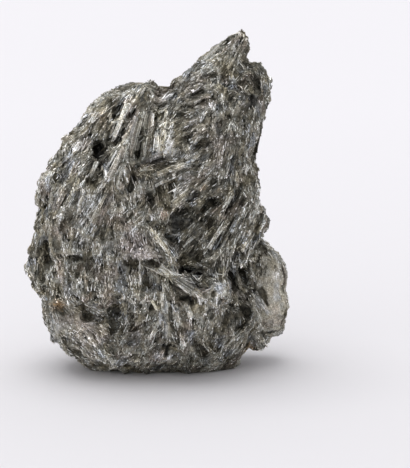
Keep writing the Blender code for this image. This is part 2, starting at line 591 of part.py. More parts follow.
def outer_skin(item, name):
    """The evaluated mesh of an object, without any pocket sealed inside it."""
    evaluated = item.evaluated_get(bpy.context.evaluated_depsgraph_get())
    mesh = bpy.data.meshes.new_from_object(evaluated)
    mesh.name = name
    shape = bmesh.new()
    shape.from_mesh(mesh)
    unseen = set(shape.verts)
    skins = []
    while unseen:
        edge_of_search = [unseen.pop()]
        skin = list(edge_of_search)
        while edge_of_search:
            vertex = edge_of_search.pop()
            for edge in vertex.link_edges:
                other = edge.other_vert(vertex)
                if other in unseen:
                    unseen.remove(other)
                    skin.append(other)
                    edge_of_search.append(other)
        skins.append(skin)
    largest = max(skins, key=len)
    pockets = [vertex for skin in skins if skin is not largest for vertex in skin]
    bmesh.ops.delete(shape, geom=pockets, context="VERTS")
    shape.to_mesh(mesh)
    shape.free()
    return mesh


# ------------------------------------------------------------------------------ the specimen
def build():
    clear_scene()
    specimen = new_collection("stibnite_crystal_spray")
    lumps = new_collection("lumps")
    growths = new_collection("growths")
    cutters = new_collection("cutters")
    sheaves = all_sheaves()

    shape = ball_mesh("main_lump", LUMP_DIVISIONS, lambda ray: mass_point(ray, sheaves))
    lump = add_object("main_lump", shape, lumps)
    decimate(lump, LUMP_KEPT)
    bpy.context.view_layer.update()
    tree = BVHTree.FromObject(lump, bpy.context.evaluated_depsgraph_get())

    lobe = add_object("rear_lobe", ball_mesh("rear_lobe", LOBE_DIVISIONS, lobe_point), growths)
    decimate(lobe, LOBE_KEPT)
    add_object("nub", ball_mesh("nub", NUB_DIVISIONS, nub_point), growths)
    add_face_crystals(tree, growths)
    add_fans(tree, sheaves, growths)
    add_pits(tree, cutters)
    add_foot_cutter(cutters, FOOT_LEVEL * MM)

    join_or_cut(lump, "growths_joined", "UNION", growths)
    join_or_cut(lump, "pits_and_foot_cut", "DIFFERENCE", cutters)
    bpy.context.view_layer.update()

    low, high = evaluated_corners(lump)
    mass = add_object("stibnite_mass", outer_skin(lump, "stibnite_mass"), specimen, helper=False)
    mass.data.materials.append(stibnite_material())
    mass.location = (-(low.x + high.x) / 2.0, -(low.y + high.y) / 2.0, -low.z)
    bpy.context.view_layer.update()


build()
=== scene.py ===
"""Finish of the stibnite specimen: its fibrous mass, the needles grown over it, floor and light.

Places on the specimen are given in millimetres on its broad face, as in the construction: x to
the right and v up the face, which leans back by FACE_LEAN. They are places as they are seen from
EYE: each one is where the line of sight crosses the plane through AIM. Everything else is in
metres.
"""
import json
import math

import bpy
import numpy as np
from mathutils import Matrix, Vector, noise
from mathutils.bvhtree import BVHTree

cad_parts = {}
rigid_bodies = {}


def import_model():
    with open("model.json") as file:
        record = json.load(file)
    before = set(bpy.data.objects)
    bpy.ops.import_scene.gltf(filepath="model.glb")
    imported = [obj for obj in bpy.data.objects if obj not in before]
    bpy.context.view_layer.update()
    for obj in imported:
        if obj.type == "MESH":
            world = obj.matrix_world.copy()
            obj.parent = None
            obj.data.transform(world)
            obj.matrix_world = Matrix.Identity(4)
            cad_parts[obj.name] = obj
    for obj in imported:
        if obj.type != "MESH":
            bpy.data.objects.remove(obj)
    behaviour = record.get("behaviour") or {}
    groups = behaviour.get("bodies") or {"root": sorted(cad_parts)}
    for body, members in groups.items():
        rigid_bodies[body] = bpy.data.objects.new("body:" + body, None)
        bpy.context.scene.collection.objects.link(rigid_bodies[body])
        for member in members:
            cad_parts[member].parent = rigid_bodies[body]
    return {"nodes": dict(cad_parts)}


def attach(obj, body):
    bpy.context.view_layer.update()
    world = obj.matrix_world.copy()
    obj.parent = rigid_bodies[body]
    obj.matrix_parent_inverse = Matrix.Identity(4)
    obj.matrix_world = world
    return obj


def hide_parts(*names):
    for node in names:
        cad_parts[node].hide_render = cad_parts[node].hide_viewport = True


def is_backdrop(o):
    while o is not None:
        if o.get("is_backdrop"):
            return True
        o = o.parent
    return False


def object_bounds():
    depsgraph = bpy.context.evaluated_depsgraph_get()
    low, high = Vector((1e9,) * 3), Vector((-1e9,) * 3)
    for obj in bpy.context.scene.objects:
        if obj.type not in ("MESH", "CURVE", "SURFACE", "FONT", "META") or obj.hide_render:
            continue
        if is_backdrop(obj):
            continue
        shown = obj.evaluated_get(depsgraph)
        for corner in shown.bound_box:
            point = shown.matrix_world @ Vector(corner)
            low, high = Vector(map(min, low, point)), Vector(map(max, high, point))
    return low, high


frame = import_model()
cad_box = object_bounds()

MM = 0.001
FACE_LEAN = math.radians(12.0)
FOOT_SHIFT = Vector((0.0, -0.003993, -0.0009))   # from the face's own zero to the foot's middle
FACE_TO_PART = Matrix.Rotation(-FACE_LEAN, 3, "X") @ Matrix.Scale(MM, 3)
INTO_FACE = (FACE_TO_PART @ Vector((0.0, 1.0, 0.0))).normalized()
INTO = np.array(INTO_FACE)       # the way straight into the broad face
HEART = FACE_TO_PART @ Vector((0.0, -8.0, 53.0)) + FOOT_SHIFT    # the middle of the specimen
OUTSIDE = 200.0                  # how far off, in mm, a line to the sides or the rear starts
AIM = Vector((16.0, -8.0, 46.67))    # what the camera looks at: x, depth, v
VIEW_HEIGHT = 156.0              # what it takes in at AIM, in mm
LENS = 250.0
SENSOR = 36.0
CAMERA_DISTANCE = VIEW_HEIGHT * LENS / SENSOR
EYE = AIM - Vector((0.0, CAMERA_DISTANCE, 0.0))
SEAM_Y = (cad_box[0][1] + cad_box[1][1]) / 2.0
SEED = 11

# The mass
FRONT_GRAIN = 0.58 * MM          # size of its faces
REAR_GRAIN = 0.62 * MM
SEAM_OVERLAP = 2.5 * MM          # how far its two halves run into each other
MASS_SINK = 0.8                  # how far, in mm, it lies under the construction's faces
FOOT_BAND = 2.5 * MM             # height over the floor in which its relief fades out
WORN_AWAY = 0.85                 # share of the relief that is gone where it is smooth
CRACK_DEPTH = 1.05               # depths and heights of the relief, in mm
PIT_DEPTH = 0.8
COARSE_RIBS = 2.0
FINE_RIBS = 1.25
GRAIN_RELIEF = 0.35
RIB_WAVER = 0.9                  # how far the ribs waver, as a share of their spacing
RIB_WAVER_SIZE = 9.0 * MM
WAVER = 0.35                     # how far, in mm, the drawn strokes waver
WAVER_SIZE = 1.6 * MM
SPOT_EDGE = 1.4                  # higher has a sharper edge
STROKE_EDGE = 3.4

# The sheaves
SHEAF_STRETCH = 0.72             # 0 makes them round, nearer 1 makes them long
SHEAF_TURN = 0.012               # how far off a surface counts as that faces away from one
SHEAF_WIDTH = 0.045
SHEAF_FAN = 0.5                  # how much its blades fan out over that width

# Forms of crystals, 1 long: sides, radius at the root and at the tip, the side of the tip that is
# moved (0 for x, 1 for y) and how far
BLADE_FORM = (6, 0.52, 0.42, 0, (0.0, 0.0, -0.06))
LATH_FORM = (3, 0.58, 0.50, 1, (0.0, 0.0, -0.08))
GRAIN_FORM = (3, 0.66, 0.46, 1, (0.12, -0.14, -0.26))
CRYSTAL_WIDTH = (0.22 * MM, 0.46 * MM)
FLATNESS = (0.6, 1.0)            # thickness over width
BLADE_FLATNESS = (0.4, 0.7)
BRIDGE_STEP = 0.7                # a difference in depth, in mm, that crystals don't reach over
BRIDGES_LEFT_OUT = 0.92          # share of the crystals over it that are left out
BUNDLES = 10500
LATHS_IN_BUNDLE = 8
LATH_LENGTH = (3.0 * MM, 8.0 * MM)
LATH_ROLL = 0.45                 # how far, in radians, laths and bundles roll round their length
BUNDLE_ROLL = 0.4
BUNDLE_LIFT = (-0.30, 0.06)      # in mm
TIP_LIFT = (-0.25, 0.05)
ROOT_SINK = 0.30 * MM            # how far the root of a lath lies under the surface
BOW_MOST = 0.5 * MM              # how far the surface may stand over a lath, and under it
BOW_LEAST = 0.9 * MM
LOWEST_LATH = 0.2 * MM           # over the floor
BUNDLE_SPLAY = 3.5               # how far, in degrees, a bundle turns from the growth
UPSIDE_DOWN = 0.3                # share of the bundles with their roots above their tips
GRAINS = 80000
GRAIN_LENGTH = (1.7 * MM, 4.6 * MM)
GRAIN_ROLL = 0.9
GRAIN_PROUD = (-0.12 * MM, 0.10 * MM)
GRAIN_SINK = 0.30                # share of its thickness that a grain is sunk by
GRAIN_HIGHEST = 0.06 * MM        # how far its ends may stand out of the surface
LOWEST_GRAIN = 0.3 * MM
FEW_LATHS = 6                    # a long blade of up to so many laths has fewer, wider ones
FEW_COUNT = (0.8, 1.4)           # factors on their number and their width in such a blade
MANY_COUNT = (1.2, 0.9)          # and in one of more laths
BLADE_ROLL = 0.35
BLADE_SINK = 0.2                 # how far, in mm, its root lies under its place
STEEPEST_BLADE = 0.68            # how much of its length a long blade may run in or out of the face
HALF_HEIGHT = 53.0               # v that parts the high pieces of crystals from the low ones

# Tones: 0 is the plain grey, and each step up multiplies its lightness by TONE_STEP
TONE_STEP = 2.8
# From here to DRAWN_TONE, light and shade are painted into the relief: what stands out is painted
# lighter, and hollows, clefts, pits and cracks darker, as their shade together with the tarnish that
# lies in them
HEIGHT_TONE = 0.44               # painted lighter for each mm that a place stands out
SUNK_TONE = 0.28                 # painted darker by this for each mm of a cleft, as its shade
DARKEST_FALL = 1.2               # clefts deeper than this, in mm, are no darker
PIT_DARKNESS = 0.6               # a pit or a crack gets the painted shade of a cleft of so many mm
CRACK_DARKNESS = 2.2
DRAWN_TONE = 1.1                 # how much the drawn ridges and clefts count for as height
MASS_SHADE_TONE = -1.0                 # the mass between the crystals, painted dark as the shade in the gaps between them
SMOOTH_TONE = 0.85               # added where it is smooth
# lighter where the white flecks are, partly as painted glints
FLECK_AND_GLINT_TONE = 0.45
CLOUD_TONE = 0.10
BLADE_TONE = -0.05
BLADE_TONE_SHARE = 0.8           # share of the tone in the list BLADES that is used
BLADE_TONE_SPREAD = 0.35
BUNDLE_TONE_SPREAD = 0.20
LATH_TONE = (0.12, 0.53)         # middle and spread
DARK_LATHS = 0.10                # share of them, and how much darker they are
DARK_LATH_TONE = 0.9
GRAIN_TONE = (0.20, 1.0)
GRAIN_TONE_SPREAD = 0.50
DARK_GRAINS = 0.11
DARK_GRAIN_TONE = 1.0

# The finish: colours, how much the fibre's stripes are drawn out, and how deep the fine bumps are
OCHRE = (0.46, 0.27, 0.09)
STRAW = (0.44, 0.38, 0.22)
ROSE_BROWN = (0.30, 0.22, 0.18)
ROSE_GREY = (0.60, 0.52, 0.51)
PALE_BLUE = (0.44, 0.47, 0.53)
ORANGE_PINK = (0.58, 0.42, 0.32)
OLIVE_BROWN = (0.27, 0.22, 0.14)
GREEN_GREY = (0.40, 0.42, 0.35)
STEEL_BLUE = (0.26, 0.31, 0.40)
BEIGE = (0.40, 0.36, 0.27)
LEAD_GREY = (0.705, 0.689, 0.632)
WHITE = (0.86, 0.86, 0.88)
WARM_CAST = (1.04, 1.00, 0.92, 1.0)
COOL_CAST = (0.95, 1.00, 1.04, 1.0)
DARK_CAST = (1.04, 1.00, 0.87, 1.0)
PALE_CAST = (0.99, 1.00, 1.06, 1.0)
# The floor's colour near and far, the far one lighter as painted light
FLOOR_NEAR = (0.71, 0.70, 0.72, 1.0)
FLOOR_FAR = (0.75, 0.74, 0.765, 1.0)
ROOM_COLOUR = (0.955, 0.95, 0.97, 1.0)
STRIPES = (3.2, 0.14, 1.0)
FIBRE_SHIFT = 37.0               # the most that the stripes of one crystal are moved to the side
BUMP_DEPTH = 0.12 * MM

# The sheaves of the broad face: x, v, direction of their blades in degrees from +x
FACE_SHEAVES = [
    (-9, 91, 68), (-2.5, 81, 82), (2.7, 81, 76), (-14, 70, 58), (-17.5, 53, 67), (-24, 53, 64),
    (-32, 61, 60), (-38, 57, 72), (-27, 81, 60), (-20.5, 86, 74), (-22.5, 71, 50), (-40.5, 38, 86),
    (-37, 30, 100), (-32, 35, 92), (-24, 29.5, 95), (-15.5, 29.5, 94), (-19, 24.5, 60),
    (-10.5, 46.5, 95), (-5.5, 53, 62), (-7.5, 61.5, 100), (-2.5, 58, 95), (2.5, 68, 14),
    (2.6, 41.5, 131), (6, 30.5, 151), (15.5, 31, 168), (14, 58, 43), (12.5, 44.5, 54), (22.5, 46.5, 57),
    (27.5, 53, 64), (31, 44.5, 76), (35, 50.5, 56), (22.5, 36, 88), (29.5, 26.5, 128),
    (33.5, 24.5, 118), (11, 99.5, 42), (19, 108, 38), (26, 109.5, 60), (28.5, 99.5, 58),
    (33, 99.5, 116), (35, 91, 80), (9.5, 91, 28), (9.5, 83, 42), (14.5, 76, 46), (24.5, 74.5, 80),
    (31, 74.5, 86), (31.5, 66, 88), (19.5, 84.5, 78), (-2.5, 24.5, 92), (3.6, 19.5, 90), (-0.7, 13, 70),
    (-9, 11.5, 100), (9.5, 16.5, 102), (17.5, 14.5, 95), (16, 9.5, 136), (-12, 28, 84),
    (-35.5, 18, 112), (-27.5, 16.5, 146), (-22.5, 9.5, 122), (-27, 6.5, 126), (2.5, 3, 90),
    (-9, 4, 100), (26, 8, 70),
]

# The sheaves of the rear face
REAR_SHEAVES = [
    (-10, 88, 100), (-24, 74, 120), (-34, 56, 108), (-20, 52, 98), (-37, 36, 82), (-24, 34, 70),
    (-8, 64, 88), (-2, 46, 60), (-12, 30, 24), (-26, 15, 135), (-8, 12, 96), (8, 18, 66), (10, 36, 76),
    (8, 72, 84), (20, 62, 96), (30, 72, 84), (14, 92, 52), (24, 104, 44), (32, 92, 96), (24, 40, 118),
    (22, 14, 80), (2, 84, 70),
]

# The sheaves of the sides: azimuth from +x towards the rear and height angle of the direction that
# they face, and the direction of their blades in degrees from level
SIDE_SHEAVES = [
    (180, -35, 80), (180, -8, 96), (180, 20, 78), (168, 46, 66), (196, 48, 60), (160, -10, 88),
    (200, -30, 104), (0, -34, 84), (0, -4, 76), (0, 22, 94), (22, 8, 82), (18, 38, 70), (-20, 34, 90),
    (-24, -38, 72), (70, 66, 50), (250, 68, 64), (150, -52, 60), (30, -50, 70),
]

# How light the broad face is, first over its larger areas: x, v, half-length, half-width, turn of
# the length in degrees, tone added. Part of it is the stone's own tone and part is painted light and
# shade: hollows, pits and crevices painted darker, the lower half and parts in shadow painted lighter.
TONE_AND_PAINTED_LIGHT = [
    (-22, 66, 20, 14, 62, 0.1),         # dome
    (2.7, 80, 9, 5, 78, 0.3),           # the fan
    (-6, 80, 14, 5, 76, 0.12),          # tall sheaf beside it
    (12.5, 50, 14, 9.5, 58, -0.42),     # hollow right of the middle, painted shade
    (24, 56, 16, 8, 66, -0.12),         # sheaf at the right edge
    (38.5, 27, 6.5, 15, 0, 0.32),       # rear lobe
    (-5, 43, 8, 4, 0, 0.16),            # shelf in the middle
    (21, 26.5, 6.5, 6.5, 0, 0.2),       # pale knob
    (28, 20, 7, 8, 90, -0.34),          # hollow under the knob, painted shade
    (29.5, 32, 10, 3, 110, -0.5),       # crevice before the rear lobe, painted shade
    (-38, 48, 16, 3.4, 92, -0.26),      # left edge
    (-19, 74, 4.2, 3, 62, -0.8),        # dark pit, painted shade
    (33.5, 97, 7, 4, 88, -0.22),        # lump behind the peak
    (-12, 22, 32, 24, 0, 0.3),          # lower half, painted light
    (20, 94, 18, 14, 60, -0.12),        # right shoulder
    (-30, 52, 12, 12, 0, 0.14),         # left middle
    (3, 87, 3.5, 2.6, 70, -0.45), (0.4, 78, 3.5, 0.9, 80, -0.35), (-12.6, 87, 3.4, 1.1, 70, -0.55),
    (-8.8, 84.6, 4, 1.2, 68, -0.45), (-17, 75.4, 5.6, 1.4, 31, -0.6), (3.4, 69.2, 6.4, 1.6, 22, -0.45),
    (-12.2, 65, 2, 1.6, 60, -0.35), (-3.2, 48.6, 2.2, 1.6, 0, -0.55), (-6.6, 52.2, 1.6, 1.4, 0, -0.4),
    (-3.4, 54.6, 1.8, 1.2, 0, -0.4), (2.4, 41, 3, 1, -45, -0.35), (21.8, 38.4, 2.6, 2, 90, -0.5),
    (22.6, 33.6, 3.6, 2, -45, -0.5), (12.6, 32.4, 4, 1.8, -28, -0.7), (-28.4, 31, 1.8, 3, 0, -0.6),
    (-20.4, 30, 2.6, 2.6, 0, -0.5), (2.6, 24.6, 1.6, 2.6, 0, -0.45), (5, 20.4, 2.6, 2, 0, -0.35),
    (4.4, 15, 2.6, 3, 0, -0.2), (36.2, 31, 2.4, 5, 20, -0.45), (30, 92, 2, 1.6, 0, -0.5),
    (32, 102.4, 5, 1.6, -10, -0.45), (27.5, 102.4, 1.5, 1.8, 0, -0.4), (12, 96.8, 1.8, 1.4, 0, -0.4),
    (21.4, 101, 1.2, 2.6, 0, -0.35), (15, 93.4, 6, 1.2, 22, -0.35), (24.5, 74, 3, 6, 0, -0.2),
    (24.6, 66, 3, 2.4, 0, -0.25), (24.4, 49.6, 2, 4, 20, -0.25), (9, 46.4, 3.6, 2.4, 40, -0.15),
    (-13.2, 11, 2.4, 3.4, -20, -0.35), (10.2, 5.4, 1.8, 1.8, 0, -0.4), (18.2, 14.6, 2.2, 2.2, 0, -0.3),
    (-39.4, 38, 3.6, 1.4, 90, -0.3), (-13, 39, 1.6, 1.6, 0, -0.3), (-25, 74, 2, 1.2, 10, -0.3),
    (-35, 34, 1.4, 3, 0, -0.25), (4, 74.6, 2.4, 2, 90, 0.6), (6.6, 73.4, 3, 1.2, 10, 0.5),
    (-18, 85.6, 3.4, 1.6, 70, 0.5), (-14, 80.8, 4.6, 0.8, 62, 0.45), (-27, 76.2, 2, 1.6, 0, 0.4),
    (-27.2, 67.6, 1.6, 1.6, 0, 0.4), (-35, 68, 10, 3, 55, 0.25), (13, 71.4, 2.6, 2, 60, 0.5),
    (14.4, 74.6, 2.6, 1.6, 60, 0.35), (14.6, 87.4, 5, 3.2, 30, 0.45), (8.6, 61, 7, 3.6, 20, 0.35),
    (6, 55.4, 5, 2, 30, 0.4), (1.6, 53, 3.2, 1.5, 10, 0.8), (-9.4, 46.2, 3.2, 3, 0, 0.45),
    (-18, 41.4, 3, 1.4, 60, 0.45), (-28.2, 47.6, 2.6, 1.6, 80, 0.4), (-30, 54, 3, 3, 0, 0.2),
    (5.4, 36, 5, 1.3, -20, 0.4), (0.5, 38.5, 2, 1.2, 0, 0.3), (15.8, 28.6, 2.4, 1.6, 0, 0.6),
    (14, 23.2, 1.8, 2.2, 0, 0.6), (21.6, 28.4, 2.4, 2, 0, 0.35), (-20, 10.2, 7.4, 1.5, -52, 0.4),
    (-24.6, 14.2, 3, 1.5, -35, 0.4), (-7.2, 18.6, 2, 2.4, 0, 0.35), (10.6, 19.6, 1.8, 3.4, 0, 0.35),
    (0.4, 5.2, 4, 1.8, 0, 0.3), (-8.4, 3.4, 5, 1.4, 0, 0.35), (-17, 3.5, 5, 2, 0, 0.35),
    (12, 7.4, 2, 1.4, 0, 0.2), (29.4, 66.4, 2, 3, 0, 0.3), (31.6, 48, 2, 4, 20, 0.2),
    (2.4, 92.2, 3, 1.6, 30, 0.5), (24, 106.6, 6, 5, 0, 0.15), (23, 97, 2, 2.4, 0, 0.3),
    (13, 57.6, 2, 1.6, 0, 0.3), (4.6, 48, 2.2, 2.6, 0, 0.35), (-27, 73.2, 2.2, 1.5, 0, -0.4),
    (-22.5, 48, 1.8, 1.6, 0, -0.5), (-10, 62, 6.4, 1, -70, -0.4), (1, 42, 3.2, 0.8, -42, -0.5),
    (-2.8, 46.4, 2.4, 0.9, -55, -0.4), (-18.8, 28.6, 1.7, 2.2, 0, -0.5), (7, 29.4, 1.6, 1, -30, -0.4),
    (2, 30, 2, 1.2, 0, -0.3), (-6, 31, 1, 3, 0, -0.4), (22.4, 38.4, 1.2, 2.4, 0, -0.4),
    (24, 31.6, 2.6, 0.9, -50, -0.35), (33.5, 32, 1.4, 2.4, 0, -0.35), (38.6, 35.2, 1.8, 1.4, 0, -0.35),
    (36.4, 25.4, 1.4, 3, 20, -0.35), (26.4, 49.6, 4.4, 1.3, 66, -0.5), (23, 57, 2.6, 1, 66, -0.4),
    (3, 23, 1.6, 3, 0, -0.3), (4, 16, 2, 2.4, 0, -0.3), (-11, 8.2, 4.6, 1.6, 14, -0.4),
    (16.2, 13, 1.8, 1.4, 0, -0.45), (-5, 83, 3, 1.4, 60, -0.3), (-3.8, 78, 1.2, 3.4, 0, -0.3),
    (0, 78.4, 1.4, 2.4, 0, -0.3), (-14.4, 87, 1, 2, 0, -0.3), (13, 79.8, 2, 1.2, 0, -0.45),
    (21.2, 87.6, 1.6, 1.4, 0, -0.4), (17, 91, 1.4, 1.2, 0, -0.35), (26, 91.4, 2, 2, 0, -0.4),
    (22.6, 95.4, 1.8, 1.4, 0, -0.35), (16.4, 96, 2.4, 1, 0, -0.3), (19, 103, 2.4, 1.4, 0, -0.3),
    (25.4, 102, 1.6, 1.6, 0, -0.3), (33, 101.4, 3, 1.6, 0, -0.35), (-13.2, 38, 2, 1.4, 0, -0.3),
    (-29, 42.2, 2, 1.4, -30, -0.3), (-31, 56, 1.2, 3.4, -14, -0.3), (8, 60, 2.4, 1.3, 30, -0.35),
    (-3.4, 56, 2.4, 1.2, 0, -0.3), (-4.8, 62.6, 1, 2.4, 0, -0.3), (-40.6, 31, 1.6, 2.4, 0, -0.25),
    (5.2, 74.6, 2.6, 1.8, 0, 0.55), (13, 77.4, 1.8, 1.4, 0, 0.45), (-4, 72.2, 2.4, 1, 20, 0.35),
    (3, 71.4, 2.4, 1, 10, 0.35), (-19, 84, 1.6, 2.4, 0, 0.4), (-14, 60.4, 3.8, 1.2, 74, 0.45),
    (-18, 49, 1.6, 1.6, 0, 0.35), (-17.4, 42, 3, 1, 60, 0.35), (-28, 51, 3.6, 3.6, 0, 0.28),
    (16, 28.4, 1.8, 1.4, 0, 0.5), (14.6, 24.4, 1.6, 2.8, 0, 0.55), (11, 20, 1.6, 3, 0, 0.3),
    (18.6, 31, 2, 1, 0, 0.35), (8.4, 35, 1.4, 1.1, 0, 0.4), (25, 37, 1.6, 2, 0, 0.4),
    (36.4, 42, 2.4, 1, -50, 0.3), (6.4, 64, 1.8, 1.4, 0, 0.3), (12, 62.6, 2.4, 1.6, 0, 0.3),
    (-8, 37.4, 2.4, 1, 0, 0.35), (-8, 22.4, 1.6, 2.4, 0, 0.25), (-30, 21.6, 2.4, 1.4, -30, 0.3),
    (-19.6, 10.4, 2.4, 2, 0, 0.28), (20.2, 82.6, 1.6, 2.2, 0, 0.4), (28, 87, 2, 2, 0, 0.25),
    (1, 5, 4, 1.4, 0, 0.25), (10, 8.4, 2.2, 1, 0, 0.25), (-6, 4, 3, 1.2, 0, 0.25),
    (-2, 14.6, 1.2, 2, 0, 0.25), (-1, 95.6, 2, 2.6, 0, 0.2), (32.4, 74, 1.9, 5, 0, 0.3),
    (26.7, 92, 1.7, 1.6, 0, -0.75), (-0.5, 78, 1, 3, 0, -0.65), (2.2, 75.2, 1.2, 1, 0, -0.4),
    (-17.8, 73.4, 1.8, 1.2, 25, -0.55), (-24.4, 73.4, 3.2, 0.9, 10, -0.4),
    (-8.8, 56.6, 1.3, 1.2, 0, -0.75), (-11.4, 64, 4.2, 0.9, 100, -0.55), (-1.5, 51.6, 2.6, 1, 0, 0.6),
    (0.2, 41.5, 3, 1, -28, -0.75), (13, 37, 2, 0.8, 0, -0.6), (12.4, 32.5, 3.2, 1, -30, -0.8),
    (22.2, 38, 0.9, 1.7, 0, -0.65), (25, 46.6, 1.4, 1.2, 0, -0.65), (25.2, 50.2, 1.2, 1.6, 0, -0.45),
    (18, 30.4, 2.6, 1.5, 0, 0.55), (14.2, 27.6, 1.6, 1.2, 0, 0.5), (13.5, 22, 0.9, 2.3, 0, 0.6),
    (-8.2, 27.6, 1.2, 2.6, 0, 0.55), (-18.6, 30.6, 1.5, 3.6, 0, -0.5),
    (-26.4, 27.6, 1.2, 2.6, 20, -0.4), (-11.5, 16.6, 1.2, 1.2, 0, -0.5), (2.6, 22, 1.2, 5, 0, -0.42),
    (3, 13, 1.2, 1.6, 0, -0.45), (1.6, 26.6, 0.8, 1.3, 0, -0.5), (18.6, 12.2, 1.5, 2.6, 0, -0.35),
    (10.2, 6, 2, 1.6, 0, -0.35), (-37, 65, 2.2, 6, -14, 0.32), (-39, 48.4, 2.6, 4.4, 0, 0.38),
    (-34, 75.4, 1.8, 3, -35, 0.28), (-24.4, 86, 1.4, 3, -45, 0.45), (-28.2, 50.2, 3.6, 1.5, 0, 0.32),
    (-23.6, 46.6, 3, 1.2, 30, -0.38), (-20.6, 53.4, 4.2, 1, 75, -0.35), (-15.6, 58.4, 6.4, 1, 82, 0.38),
    (12.8, 55.4, 1.2, 3, 0, 0.32), (5.4, 64.8, 3.4, 1.6, 0, 0.24), (12.6, 101.6, 2.8, 1, 38, 0.5),
    (18.2, 98.6, 3.8, 1.7, 0, -0.14), (33, 100.6, 2, 2, 0, -0.28), (28, 113, 1.8, 1.5, 0, 0.34),
    (29, 104.2, 1.2, 1.6, 0, 0.4), (35.4, 86, 1.2, 1.6, 0, 0.5), (3.6, 42.4, 3.2, 3, 0, -0.18),
    (-26, 33, 7, 4, 0, -0.12), (4.8, 76, 1.3, 3.4, 0, 0.55), (-3, 73.2, 2.4, 1.2, 0, 0.3),
    (18.8, 89.2, 1.4, 1, 0, 0.4), (-28, 47.4, 1.4, 2, 0, 0.35), (-11.8, 87.4, 3.6, 0.8, 60, -0.6),
    (-19.2, 72.2, 5.2, 0.9, 42, -0.45), (-2.6, 47.4, 1.8, 0.9, -55, -0.55),
    (0.6, 41.6, 2.6, 0.9, -28, -0.35), (12.8, 32, 2.4, 0.9, -30, -0.35),
    (8.6, 28.2, 4.2, 0.9, -30, -0.5), (20.4, 33.8, 3.6, 0.9, -24, -0.5),
    (18.2, 12.6, 1.8, 2.4, 0, -0.25), (-38, 60, 2, 12, -6, 0.16), (-32.6, 78.6, 1.6, 2.6, -40, 0.3),
    (12.8, 70.6, 1.6, 1, 0, 0.45), (24.8, 46.4, 1.8, 1, 0, -0.3), (1, 57.6, 1.6, 1.2, 0, 0.2),
    (-27, 67, 3.6, 1, 65, 0.35), (-30.4, 65.6, 2.6, 1, 65, 0.3), (-19.4, 11.4, 2.2, 1.4, 0, 0.35),
    (-34, 19.6, 2.2, 1.2, 0, 0.35), (14, 22.4, 1.2, 1.6, 0, 0.3), (-31.4, 24.4, 3, 0.9, -55, 0.35),
    (3.4, 9.6, 1.2, 1, 0, 0.45), (4.8, 7.8, 1, 1, 0, -0.6), (24, 15.4, 1.2, 1.8, 0, -0.35),
    (-10.8, 10.8, 4.4, 1.4, 35, -0.3), (-7.4, 23.4, 1, 1.6, 0, -0.55), (8.4, 60.8, 2.6, 1, 45, -0.5),
    (-8.4, 70.4, 1.6, 1, 0, -0.45), (-24, 78.2, 4.6, 1, 12, -0.35), (3, 87, 1.4, 1.2, 0, -0.45),
    (8.4, 81.4, 1.4, 1.4, 0, -0.4), (7.2, 64, 1.6, 1.2, 0, 0.3), (-36.4, 52, 3.4, 9, 0, 0.16),
    (-30.4, 80, 2.4, 2.4, 0, 0.28), (-20.8, 70.6, 2.2, 0.8, 60, -0.45), (-17, 63.6, 1.8, 0.8, 55, -0.5),
    (-11.6, 62.6, 2, 0.9, 110, -0.45), (-6.6, 51, 1.6, 1.2, 0, -0.4), (-5.6, 55.6, 1.6, 1.2, 0, -0.4),
    (25.4, 46.4, 1.4, 1.4, 0, -0.4), (14, 31.4, 2.6, 0.8, -20, -0.5),
    (14.2, 26.2, 1.6, 0.9, -40, -0.55), (6, 30, 3, 0.9, -40, -0.45), (21.6, 33, 2, 0.9, -40, -0.45),
    (27.6, 28.8, 2.6, 1, -45, -0.35), (-40, 32, 1.6, 2.2, 0, -0.45), (-1.6, 27.6, 1.2, 1.6, 0, -0.4),
    (3.4, 16, 1.2, 2.2, 0, -0.3), (-12, 11.2, 1.4, 1, 0, -0.35), (-20, 16.8, 1.4, 0.9, 0, -0.4),
    (26.6, 108, 2, 2, 0, 0.35), (20.8, 82.6, 1.2, 3.4, 15, 0.3), (24, 71, 3, 4, 0, -0.14),
    (-0.4, 78.4, 1.6, 1.2, 0, -0.3), (-29.6, 22.8, 1.2, 1.2, 0, -0.4),
    (-21.4, 33.2, 1.6, 1.6, 0, -0.25), (-8, 6, 16, 5, 0, 0.08), (-22, 26, 9, 5, 0, 0.06),
    (25, 74, 8, 9, 0, 0.06), (12, 58, 8, 8, 0, 0.05), (-18, 85.8, 3.4, 1.6, 0, 0.32),
    (-3.2, 73, 1.6, 1.4, 0, 0.3), (2.6, 91.6, 2.4, 2.6, 30, 0.26), (30.6, 67, 1.6, 2.6, 0, 0.32),
    (-22, 69, 2.2, 0.8, 60, -0.4), (-2.6, 78.6, 1.8, 2, 0, -0.26), (3.4, 31.6, 3, 1.2, -30, -0.45),
    (-3.4, 40.6, 2, 0.8, 15, -0.4), (-18.8, 42.6, 1, 1.8, -20, -0.5), (26, 90, 1.2, 1.2, 0, -0.5),
    (18.4, 81, 1, 1, 0, -0.5), (7.8, 70, 2.4, 0.9, 20, -0.35),
]

# Where the surface is made of long blades, as spots with an amount. Elsewhere it is made of grains
FIBROUS = [
    (-9, 90, 9, 5, 65, 1), (-6, 79, 13, 7, 74, 1), (2, 81, 8, 3.6, 80, 1), (-13, 68, 10, 5, 58, 1),
    (-20, 85, 9, 4, 78, 0.8), (-27, 65, 12, 6, 58, 0.7), (-22, 54, 10, 7, 60, 0.8),
    (4, 67, 6.5, 3.6, 14, 1), (0, 43, 8, 3, 131, 1), (6, 31, 8, 2.8, 148, 1), (15, 33, 7, 2.2, 170, 1),
    (29, 50, 12, 6, 60, 0.95), (26, 41, 8, 4.5, 80, 0.9), (22, 36, 5, 2, 90, 0.8),
    (32, 24, 8, 3.8, 118, 0.9), (2, 20, 9, 4, 92, 0.7), (0, 13, 6, 3, 70, 0.8),
    (17, 104, 16, 4.5, 42, 0.6), (-37, 33, 8, 4, 95, 0.5), (-24, 31, 7, 5, 95, 0.4),
    (-9, 60, 7, 3.5, 80, 0.7), (8, 58, 6, 3, 43, 0.5), (28, 100, 6, 3, 58, 0.5),
    (15, 9, 5, 3, 136, 0.6), (-20, 13, 6, 4, 100, 0.3),
]

